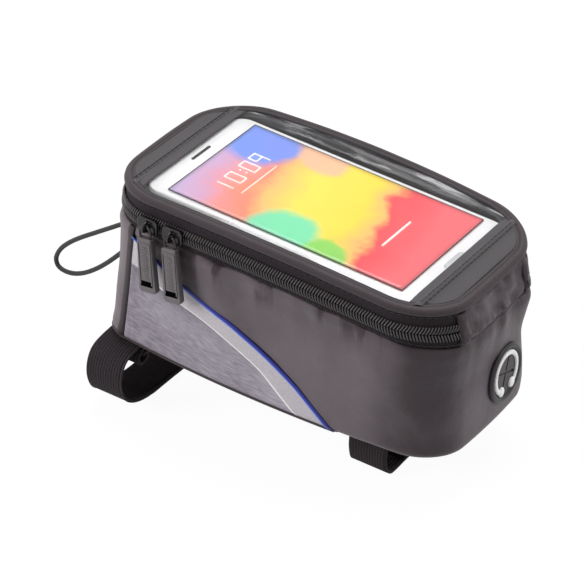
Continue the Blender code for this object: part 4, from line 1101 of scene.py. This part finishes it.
def build_phone():
    low = -PHONE_THICKNESS
    levels = ((low, 1.6 * MM), (low + 0.5 * MM, 0.6 * MM), (low + 1.6 * MM, 0.0), (-2.4 * MM, 0.0),
              (-1.1 * MM, 0.35 * MM), (-0.75 * MM, 1.1 * MM))
    body = plate("phone_body_shell", PHONE_LENGTH, PHONE_WIDTH, 9 * MM, levels, phone_white)
    declare(body, "lid", "white_plastic", "phone_body")
    levels = ((-5.6 * MM, 0.15 * MM), (-5.3 * MM, 0.0), (-3.0 * MM, 0.0), (-2.7 * MM, 0.15 * MM))
    rim = plate("phone_rim", PHONE_LENGTH + 0.1 * MM, PHONE_WIDTH + 0.1 * MM, 9 * MM, levels, phone_trim)
    declare(rim, "lid", "white_plastic")
    columns, lines = 40, 24
    rows = []
    uvs = []
    for r in range(lines + 1):
        y = -SCREEN_WIDTH / 2 + SCREEN_WIDTH * r / lines
        rows.append([Vector((PHONE_X + x, y, phone_plane(PHONE_X + x) - 0.05 * MM))
                     for x in between(-SCREEN_LENGTH / 2, SCREEN_LENGTH / 2, columns + 1)])
        uvs.append([(c / columns, r / lines) for c in range(columns + 1)])
    screen = cloth("phone_screen_glass", rows, picture, 0.6 * MM, uvs=np.array(uvs))
    declare(screen, "lid", "screen_glass", "phone_screen")
    # Dark line round the screen
    half_x, half_y, line = SCREEN_LENGTH / 2, SCREEN_WIDTH / 2, 0.25 * MM
    axes = (Vector((1, 0, -SEAM_FALL)).normalized(), Vector((0, 1, 0)), Vector((0, 0, 1)))
    specs = []
    for x, y, size_x, size_y in ((0, -half_y, half_x, line), (0, half_y, half_x, line),
                                 (-half_x, 0, line, half_y), (half_x, 0, line, half_y)):
        centre = (PHONE_X + x, y, phone_plane(PHONE_X + x) - 0.1 * MM)
        specs.append((centre, axes, (size_x, size_y, 0.12 * MM)))
    declare(bars("phone_screen_border", specs, thread_dark), "lid", "screen_glass")
    # Earpiece and home key of a plain phone
    dark = plate("phone_earpiece", 1.6 * MM, 15 * MM, 0.8 * MM, ((-0.8 * MM, 0.0), (-0.68 * MM, 0.0)),
                 thread_dark, PHONE_X - 69.5 * MM)
    declare(dark, "lid", "white_plastic")
    key = plate("phone_home_key", 5.4 * MM, 16 * MM, 2.6 * MM, ((-0.8 * MM, 0.0), (-0.5 * MM, 0.25 * MM)),
                phone_trim, PHONE_X + 69.5 * MM)
    declare(key, "lid", "white_plastic")


DIGITS = {"1": ((0.5, 0, 0.5, 1),), "0": ((0, 0, 1, 0), (1, 0, 1, 1), (1, 1, 0, 1), (0, 1, 0, 0)),
          "9": ((1, 0, 1, 1), (1, 1, 0, 1), (0, 1, 0, 0.5), (0, 0.5, 1, 0.5))}


def build_clock():
    """A plain clock on the screen: its digits read across the phone's width."""
    specs = []
    size_x, size_y = 9.0 * MM, 5.2 * MM
    foot = PHONE_X - 40 * MM
    y = -19 * MM

    def spot(u, v):
        # v is up the digit, towards the phone's top; u is along the text, towards the far side
        px = foot - v * size_x
        return Vector((px, y + u * size_y, phone_plane(px) + 0.12 * MM))

    for mark in "10:09":
        if mark == ":":
            specs += [(spot(0.1, v), spot(0.22, v), 0.42 * MM) for v in (0.3, 0.7)]
            y += 3.4 * MM
        else:
            specs += [(spot(u0, v0), spot(u1, v1), 0.38 * MM) for u0, v0, u1, v1 in DIGITS[mark]]
            y += size_y + 3.0 * MM
    # A line under the clock and one near the phone's foot
    for x, y0, y1, radius in ((-35, -17, 12, 0.3), (38, -12, 12, 0.55)):
        px = PHONE_X + x * MM
        ends = [Vector((px, end * MM, phone_plane(px) + 0.1 * MM)) for end in (y0, y1)]
        specs.append((*ends, radius * MM))
    declare(capsules("phone_clock", specs, glyph), "lid", "screen_glass")


# Audio port

def port_frame():
    """Frame of the port on the rear end: x across, y upward, z out of the wall."""
    height = PORT_HEIGHT
    side = plan(height)[1] - plan(height)[4]
    t = 2.5 + PORT_SIDE / (2 * side)
    across = wall_point(t + 0.05, height) - wall_point(t - 0.05, height)
    upward = wall_point(t, height + 2 * MM) - wall_point(t, height - 2 * MM)
    normal = across.cross(upward).normalized()
    across = across.normalized()
    upward = normal.cross(across)
    made = Matrix((across, upward, normal)).transposed().to_4x4()
    made.translation = wall_point(t, height)
    return made


def around(place, radius, angle, height):
    """Point at a radius and angle round a frame's axis, with the radius and height in millimetres."""
    return place @ (Vector((radius * math.cos(angle), radius * math.sin(angle), height)) * MM)


PORT_PROFILE = ((14.6, 0.2), (14.7, 0.9), (14.45, 1.6), (13.9, 2.1), (13.1, 2.2), (12.4, 2.0), (11.9, 1.5),
                (11.6, 0.9), (11.3, 0.8), (11.1, 1.2), (8.2, 1.1), (8.0, 0.2))
MARK_PROFILE = ((-1.2, 1.25), (-1.0, 1.8), (-0.4, 2.05), (0.4, 2.05), (1.0, 1.8), (1.2, 1.25))
PAD_PROFILE = ((2.5, 1.25), (2.5, 1.65), (2.15, 2.05), (1.35, 2.25), (0.05, 2.3))
FLAP_RADIUS = 8.2


def build_port():
    place = port_frame()
    turns = between(0, 2 * math.pi, 73)[:-1]
    ring = [[around(place, r, a, z) for r, z in PORT_PROFILE] for a in turns]
    declare(sweep("audio_port_ring", ring, rubber, closed=True), "bag", "black_rubber", "audio_port")
    neck = [[around(place, r, a, z) for r, z in ((11.2, 0.4), (11.2, -4.8), (10.0, -4.8), (10.0, 0.4))]
            for a in turns]
    declare(sweep("audio_port_neck", neck, rubber, closed=True), "bag", "black_rubber")
    # Four flaps of the membrane, with the cross slit between them
    verts = []
    faces = []
    for quarter in range(4):
        start = math.radians(70 + 90 * quarter)
        loop = [(0.85, start + math.pi / 4)]
        loop += [(FLAP_RADIUS, a) for a in between(start + 0.075, start + math.pi / 2 - 0.075, 14)]
        n = len(loop)
        first = len(verts)
        verts += [around(place, r, a, 1.15 - 0.25 * (1 - r / FLAP_RADIUS)) for r, a in loop]
        verts += [around(place, r, a, 0.2) for r, a in loop]
        faces.append(tuple(range(first, first + n)))
        faces.append(tuple(range(first + n, first + 2 * n))[::-1])
        for k in range(n):
            j = (k + 1) % n
            faces.append((first + k, first + n + k, first + n + j, first + j))
    declare(put("audio_port_flaps", verts, faces, membrane, smooth=False), "bag", "black_rubber")
    # Dark disc behind the slits: painted shade inside the port
    back = [[around(place, r, a, 0.12) for a in between(0, 2 * math.pi, 49)] for r in (0.05, 11.1)]
    declare(cloth("audio_port_painted_shade", back, painted_shade_black), "bag", "black_rubber")
    # Headphone sign: an arc with a pad at each end
    sections = [[around(place, 10.0 + r, a, z) for r, z in MARK_PROFILE]
                for a in between(math.radians(-62), math.radians(242), 60)]
    declare(sweep("audio_mark_arc", sections, mark_white), "bag", "white_rubber", "audio_mark")
    for name, angle in (("a", -58), ("b", 238)):
        pad = place @ Matrix.Translation(around(Matrix.Identity(4), 9.3, math.radians(angle), 0))
        rings = [[around(pad, r, a, z) for a in between(0, 2 * math.pi, 25)[:-1]] for r, z in PAD_PROFILE]
        declare(sweep("audio_mark_pad_" + name, rings, mark_white), "bag", "white_rubber")


# Straps and cord

FRONT_STRAP_X = -83 * MM
REAR_STRAP_X = 49 * MM
FRONT_STRAP_DEPTH = 36.8 * MM
REAR_STRAP_DEPTH = 28.6 * MM
# Strap paths are (y, z) points and the cord's path is (x, z) points, all in millimetres
FRONT_NEAR = ((-12, -1.1), (-30, -1.1), (-45, -2.2), (-52.5, -5), (-55.8, -11), (-55.6, -19), (-51.5, -27),
              (-43, -32.5), (-31, -35.2), (-16, -36), (14, -36))
FRONT_FAR = ((12, -1.1), (27, -1.1), (33, -4.5), (36, -13), (33.5, -24), (26, -31.5), (16, -33.8))
REAR_NEAR = ((-6, -1.1), (-22, -1.1), (-28, -3.5), (-30.3, -11), (-30.2, -19), (-27, -25.5),
             (-18, -27.8), (16, -27.8))
REAR_FAR = ((6, -1.1), (22, -1.1), (28, -3.5), (30.3, -10), (29.6, -18), (25, -24.2),
            (17, -25.9), (-14, -25.9))
FRONT_ROLL = ((-28, -2.9), (-34, -3), (-39.5, -3.6), (-42.9, -5.8), (-43.6, -8.8), (-41.4, -11.2),
              (-38, -11), (-36.2, -8.6), (-37.6, -6.4), (-40.2, -6.8))
STRAP_HALF = 10.0 * MM
CORD_LINE = (
    (-95.8, 43.7), (-98.6, 43.3), (-103.4, 41.0), (-111.2, 35.6), (-120.2, 29.3), (-128.6, 23.4),
    (-136.0, 17.6), (-142.0, 11.3), (-145.0, 5.0), (-144.0, 0.6), (-140.2, -1.0), (-135.2, -0.6),
    (-130.2, 1.3), (-124.8, 4.6), (-118.4, 9.8), (-112.2, 15.9), (-106.4, 22.3), (-101.6, 27.4),
    (-99.0, 29.6), (-96.6, 30.2),
)
CORD_Y = -12.0 * MM


def smooth_path(points, steps):
    found = []
    count = len(points)
    for index in range(count - 1):
        near_by = [points[max(0, min(place, count - 1))] for place in range(index - 1, index + 3)]
        for step in range(steps):
            s = step / steps
            found.append(tuple(0.5 * (2 * b + (c - a) * s + (2 * a - 5 * b + 4 * c - d) * s * s
                                      + (3 * b - a - 3 * c + d) * s ** 3) for a, b, c, d in zip(*near_by)))
    found.append(points[-1])
    return found


def offset_path(path, distance):
    moved = []
    last = len(path) - 1
    for index, (y, z) in enumerate(path):
        y0, z0 = path[max(index - 1, 0)]
        y1, z1 = path[min(index + 1, last)]
        length = math.hypot(y1 - y0, z1 - z0)
        moved.append((y - (z1 - z0) / length * distance, z + (y1 - y0) / length * distance))
    return moved


def strap(name, path, middle_x, material, *nodes):
    """Webbing along a path of (y, z) points in millimetres."""
    rows = []
    for y, z in path:
        row = []
        for s in between(-1.0, 1.0, 13):
            edge = ripple(y * 0.07, z * 0.07, 3.0 + s) * 0.35 * MM * abs(s)
            row.append(Vector((middle_x + s * STRAP_HALF + edge, y * MM, z * MM)))
        rows.append(row)
    return declare(cloth(name, rows, material, 1.6 * MM, offset=0.0), "bag", "webbing", *nodes)


def build_straps():
    front_near = smooth_path(FRONT_NEAR, 8)
    strap("strap_front_near_web", front_near, FRONT_STRAP_X, webbing, "strap_front_near")
    # The far half ends in a tongue along the inside of the near half
    inside = offset_path(smooth_path(FRONT_NEAR, 2)[::-1], -1.9)
    front_far = list(FRONT_FAR) + [p for p in inside if p[0] < -2 and p[1] < -14]
    strap("strap_front_far_web", smooth_path(front_far, 5), FRONT_STRAP_X, hooks, "strap_front_far")
    # Spare end of the strap, rolled up inside the loop
    strap("strap_front_roll", smooth_path(FRONT_ROLL, 5), FRONT_STRAP_X + 1 * MM, webbing)
    strap("strap_rear_near_web", smooth_path(REAR_NEAR, 8), REAR_STRAP_X, webbing, "strap_rear_near")
    strap("strap_rear_far_web", smooth_path(REAR_FAR, 8), REAR_STRAP_X, hooks, "strap_rear_far")
    # Pale woven edge of the front strap
    for name, side in (("front_left", -1), ("front_right", 1)):
        line = [Vector((FRONT_STRAP_X + side * (STRAP_HALF - 0.15 * MM), y * MM, z * MM))
                for y, z in offset_path(front_near, -0.75)][10:64]
        edge = sweep("strap_edge_" + name, tube_sections(line, 0.26 * MM, 6), hem)
        declare(edge, "bag", "webbing")
    # Crossed box of stitches that sews each strap to the floor
    for name, x, y0 in (("front_near", FRONT_STRAP_X, -14), ("front_far", FRONT_STRAP_X, 14),
                        ("rear_near", REAR_STRAP_X, -9), ("rear_far", REAR_STRAP_X, 9)):
        corners = ((-7, -3), (7, -3), (7, 3), (-7, 3), (-7, -3), (7, 3))
        line = [Vector((x + a * MM, (y0 + b) * MM, -1.95 * MM)) for a, b in corners]
        stitches("strap_stitches_" + name, line, "bag", "webbing", 0.25 * MM)


def build_cord():
    points = smooth_path(CORD_LINE, 3)
    curve = bpy.data.curves.new("cord_loop_elastic", "CURVE")
    curve.dimensions = "3D"
    curve.bevel_depth = 1.2 * MM
    curve.bevel_resolution = 4
    curve.use_fill_caps = True
    spline = curve.splines.new("POLY")
    spline.points.add(len(points) - 1)
    for point, (x, z) in zip(spline.points, points):
        point.co = (x * MM, CORD_Y, z * MM, 1.0)
    spline.use_smooth = True
    made = bpy.data.objects.new("cord_loop_elastic", curve)
    bpy.context.scene.collection.objects.link(made)
    shade = Shade("cord_black", (0.020, 0.021, 0.021), 0.55)
    shade.bump(shade.noise(1100.0, 2.0), 0.15 * MM)
    made.data.materials.append(shade.material)
    declare(made, "bag", "webbing", "cord_loop")
    # Patch that both ends come out of
    rows = []
    for k, height in enumerate(between(25.5 * MM, 49 * MM, 20)):
        side = plan(height)[1] - plan(height)[3]
        row = []
        for j, y in enumerate(between(CORD_Y + 7.5 * MM, CORD_Y - 7.5 * MM, 14)):
            edge = min(k, 19 - k) / 2.5
            edge = smooth_step(min(edge, min(j, 13 - j) / 1.8))
            row.append(wall_point(-2.5 - y / (2 * side), height, (0.5 + 1.8 * math.sqrt(edge)) * MM))
        rows.append(row)
    declare(cloth("cord_patch_cloth", rows, hem, 0.6 * MM), "bag", "black_fabric", "cord_patch")
    line = [rows[r][c] + Vector((-0.1 * MM, 0, 0)) for r, c in
            [(2, c) for c in range(2, 12)] + [(r, 11) for r in range(3, 18)]
            + [(17, c) for c in range(10, 1, -1)] + [(r, 2) for r in range(16, 2, -1)]]
    stitches("cord_patch_stitches", line, "bag", "black_fabric", radius=0.22 * MM)


# Sliders and pulls

def chain_middle(x):
    height = seam_height(x) - SPLIT_DROP
    return wall_point(near_place(x, height), height)


def slider_frame(x):
    step = chain_middle(x + 1 * MM) - chain_middle(x - 1 * MM)
    made = Matrix.Rotation(math.atan2(step.y, step.x), 4, "Z")
    made.translation = chain_middle(x)
    return made


SHIELD = ((-5.75, -2.6), (-4.6, -4.0), (-1.2, -4.0), (1.2, -4.0), (4.6, -4.0), (5.75, -2.6), (5.75, 2.6),
          (4.2, 4.0), (-4.2, 4.0), (-5.75, 2.6))
SLIDER_PLACES = (("front", -63.3 * MM), ("rear", -48.8 * MM))


def block(place, loops, material, bevel):
    """Solid through loops of (x, y, z) points in millimetres, placed in a frame and bevelled."""
    made = sweep("part", [[place @ (Vector(p) * MM) for p in loop] for loop in loops], material)
    rounding = made.modifiers.new("bevel", "BEVEL")
    rounding.width = bevel
    rounding.segments = 3
    rounding.limit_method = "ANGLE"
    rounding.angle_limit = math.radians(35)
    return made


def joined(name, parts):
    """Join finished parts into one object."""
    parts = [baked(p) if p.modifiers else p for p in parts]
    bpy.ops.object.select_all(action="DESELECT")
    for part in parts:
        part.select_set(True)
    bpy.context.view_layer.objects.active = parts[0]
    bpy.ops.object.join()
    parts[0].name = name
    return parts[0]


def build_slider(name, x):
    place = slider_frame(x)
    outer = [(a * 0.97, -3.5, b * 0.95) for a, b in SHIELD]
    front = block(place, [[(a, -2.0, b) for a, b in SHIELD], outer], metal, 0.45 * MM)
    rear = block(place, [[(a, out, b) for a, b in SHIELD] for out in (4.7, 3.2)], metal, 0.4 * MM)
    post = block(place, [[(-3, out, -0.25), (3, out, -0.25), (3, out, 0.25), (-3, out, 0.25)]
                         for out in (-2.2, 3.4)], metal, 0.05 * MM)
    arch = [place @ (Vector((0, -3.3 - 3.5 * math.sin(a), -2.35 * math.cos(a))) * MM)
            for a in between(0, math.pi, 17)]
    bail = sweep("part", tube_sections(arch, 0.72 * MM, 10), metal)
    made = joined(name + "_metal", [front, rear, post, bail])
    declare(made, name.replace("slider_", "") + "_slider", "slider_metal", name)


def build_pull(name, x):
    place = slider_frame(x) @ Matrix.Translation((0, -4.9 * MM, 0))
    place = place @ Matrix.Rotation(math.radians(-9), 4, "Y") @ Matrix.Rotation(math.radians(-4), 4, "X")
    top, low, thick = -5.45, -32.45, 1.7
    tab = ((-4.0, top), (-5.0, low + 1.2), (-3.9, low), (3.9, low), (5.0, low + 1.2), (4.0, top),
           (2.6, top + 0.5), (-2.6, top + 0.5))
    body = block(place, [[(a * 0.96, thick, b) for a, b in tab], [(a, thick - 0.5, b) for a, b in tab],
                         [(a, -thick + 0.45, b) for a, b in tab],
                         [(a * 0.95, -thick, top + (b - top) * 0.985) for a, b in tab]],
                 pull_plastic, 0.35 * MM)
    axes = tuple(place.to_3x3().col)
    specs = []

    def add(centre, half):
        specs.append((place @ (Vector(centre) * MM), axes, tuple(size * MM for size in half)))

    # Rim of the sunk panel, plain ridges on it, and the slot near the end
    for side in (-3.35, 3.35):
        add((side, -thick - 0.1, (top + low) / 2 + 1.2), (0.32, 0.28, 10.4))
    add((0, -thick - 0.1, top - 1.9), (3.4, 0.28, 0.32))
    for k in range(13):
        add((0.25 * math.sin(k * 2.1), -thick - 0.06, top - 4.2 - k * 1.32),
            (1.45 + 0.35 * math.sin(k * 1.7), 0.22, 0.30))
    ridges = bars("part", specs, pull_plastic, 0.12 * MM)
    # The slot is a dark block through the tab: painted shade inside the slot
    specs = []
    add((0, 0, low + 4.6), (3.5, 1.78, 1.4))
    slot = bars("part", specs, painted_shade_black)

    def squared(value):
        return math.copysign(abs(value) ** 0.7, value)

    # Eye of the pull: a flattened ring whose top bar lies in the bail
    ring = [place @ (Vector((squared(math.sin(a)) * 3.1, 0, -2.9 + squared(math.cos(a)) * 2.9)) * MM)
            for a in between(0, 2 * math.pi, 41)]
    eye = sweep("part", tube_sections(ring, 0.62 * MM, 10), metal)
    slot.name = name + "_slot"
    made = joined(name + "_tab", [body, ridges])
    eye.name = name + "_eye"
    body_name = name.replace("pull_", "") + "_pull"
    declare(made, body_name, "black_plastic", name)
    declare(slot, body_name, "black_plastic")
    declare(eye, body_name, "slider_metal")


# Build everything

build_side_wall()
build_front_panel()
build_edge_bindings()
build_grey_panels()
build_stripes()
build_piping()
build_base_trim()
ring_sheet("wall_padding_foam", SKIN + GAP, between(0, 1, 14), foam, FOAM, "foam", "wall_padding")
ring_sheet("wall_lining_cloth", SKIN + FOAM + 2 * GAP, between(0, 1, 24), lining, CLOTH, "inner_cloth",
           "wall_lining")
build_zip()
build_rear_end()
build_binding()
build_lid_skins()
build_phone()
build_clock()
build_port()
build_straps()
build_cord()
for which, place_x in SLIDER_PLACES:
    build_slider("slider_" + which, place_x)
    build_pull("pull_" + which, place_x)

for node, material in (("base_panel", black), ("base_board", board), ("floor_lining", lining),
                       ("phone_pocket", lining)):
    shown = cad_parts[node]
    shown.data.materials.clear()
    shown.data.materials.append(material)


# Stage, lamps and camera

def build_stage():
    """A white floor that both straps rest on; it glows a little to the camera and in gloss."""
    slope = (FRONT_STRAP_DEPTH - REAR_STRAP_DEPTH) / (REAR_STRAP_X - FRONT_STRAP_X)
    up = Vector((-slope, 0, 1)).normalized()
    floor_mesh = bpy.data.meshes.new("floor")
    size = 4.0
    base = Vector((FRONT_STRAP_X, 0, -FRONT_STRAP_DEPTH - 0.05 * MM))
    along = Vector((1, 0, slope)).normalized()
    side = up.cross(along)
    corners = [base + along * a + side * b
               for a, b in ((-size, -size), (size, -size), (size, size), (-size, size))]
    floor_mesh.from_pydata([tuple(c) for c in corners], [], [(0, 1, 2, 3)])
    floor = bpy.data.objects.new("floor", floor_mesh)
    bpy.context.scene.collection.objects.link(floor)
    shade = Shade("floor_white", (0.50, 0.50, 0.50), 0.9, Specular_IOR_Level=0.0)
    path = shade.node("LightPath").outputs
    mirrored_ray = shade.math("MAXIMUM", path["Is Glossy Ray"], path["Is Transmission Ray"])
    seen = shade.math("MAXIMUM", path["Is Camera Ray"], mirrored_ray)
    glow = shade.node("Emission")
    glow.inputs["Strength"].default_value = 1.08
    share = shade.math("MULTIPLY", seen, 0.88)
    shade.show(shade.node("MixShader", share, shade.shader.outputs[0], glow.outputs[0]))
    floor_mesh.materials.append(shade.material)


def area_light(name, location, target, size_x, size_y, power, mirrored_back=True):
    data = bpy.data.lights.new(name, "AREA")
    data.shape = "RECTANGLE"
    data.size = size_x
    data.size_y = size_y
    data.energy = power
    made = bpy.data.objects.new(name, data)
    made.location = location
    made.rotation_euler = (Vector(target) - Vector(location)).to_track_quat("-Z", "Y").to_euler()
    made.visible_camera = False
    made.visible_glossy = mirrored_back
    bpy.context.scene.collection.objects.link(made)


def build_lights():
    # The side boxes don't show in gloss, so that they don't blank out the film and the screen from behind
    area_light("top_box", (-0.1, 0.35, 1.4), (0, 0, 0.04), 1.1, 0.9, 15.0)
    area_light("left_box", (-1.0, -1.15, 0.65), (0, 0, 0.04), 0.7, 0.8, 21.0, False)
    area_light("right_box", (1.15, 0.75, 0.55), (0, 0, 0.04), 0.7, 0.8, 9.0, False)
    world = bpy.data.worlds.new("studio")
    bpy.context.scene.world = world
    world.use_nodes = True
    tree = world.node_tree
    background = tree.nodes["Background"]
    path = tree.nodes.new("ShaderNodeLightPath")
    ray = tree.nodes.new("ShaderNodeMath")
    ray.operation = "MAXIMUM"
    tree.links.new(path.outputs["Is Camera Ray"], ray.inputs[0])
    glossy = tree.nodes.new("ShaderNodeMath")
    glossy.operation = "MAXIMUM"
    tree.links.new(path.outputs["Is Transmission Ray"], glossy.inputs[0])
    tree.links.new(path.outputs["Is Glossy Ray"], glossy.inputs[1])
    tree.links.new(glossy.outputs[0], ray.inputs[1])
    strength = tree.nodes.new("ShaderNodeMapRange")
    strength.inputs["To Min"].default_value = 0.20
    strength.inputs["To Max"].default_value = 1.0
    tree.links.new(ray.outputs[0], strength.inputs["Value"])
    background.inputs["Color"].default_value = (1.0, 1.0, 1.0, 1.0)
    tree.links.new(strength.outputs[0], background.inputs["Strength"])


# Camera solved from the photograph: angles in degrees, focal length and picture width in pixels, metres away
CAMERA_ANGLES = (31.308, 35.52, 2.918)
FOCAL_LENGTH = 2898
PICTURE_WIDTH = 584
SENSOR_WIDTH = 36.0
CAMERA_DISTANCE = 1.373
# The picture's middle lies a little off the solved centre, so the camera is turned right and down to it
AIM_RIGHT = 0.008381
AIM_DOWN = 0.021998


def build_camera():
    azimuth, elevation, roll = (math.radians(a) for a in CAMERA_ANGLES)
    back = Vector((math.sin(azimuth) * math.cos(elevation), -math.cos(azimuth) * math.cos(elevation),
                   math.sin(elevation)))
    right = Vector((math.cos(azimuth), math.sin(azimuth), 0))
    up = back.cross(right)
    turned_right = right * math.cos(roll) + up * math.sin(roll)
    turned_up = up * math.cos(roll) - right * math.sin(roll)
    aim = (back + turned_right * AIM_RIGHT - turned_up * AIM_DOWN).normalized()
    turned_right = (turned_right - aim * turned_right.dot(aim)).normalized()
    turned_up = aim.cross(turned_right)
    data = bpy.data.cameras.new("camera")
    data.sensor_width = SENSOR_WIDTH
    data.lens = FOCAL_LENGTH * SENSOR_WIDTH / PICTURE_WIDTH
    data.clip_end = 50.0
    made = bpy.data.objects.new("camera", data)
    matrix = Matrix((turned_right, turned_up, aim)).transposed().to_4x4()
    matrix.translation = back * CAMERA_DISTANCE
    made.matrix_world = matrix
    bpy.context.scene.collection.objects.link(made)
    bpy.context.scene.camera = made
    bpy.context.scene.view_settings.view_transform = "Standard"


build_stage()
build_lights()
build_camera()
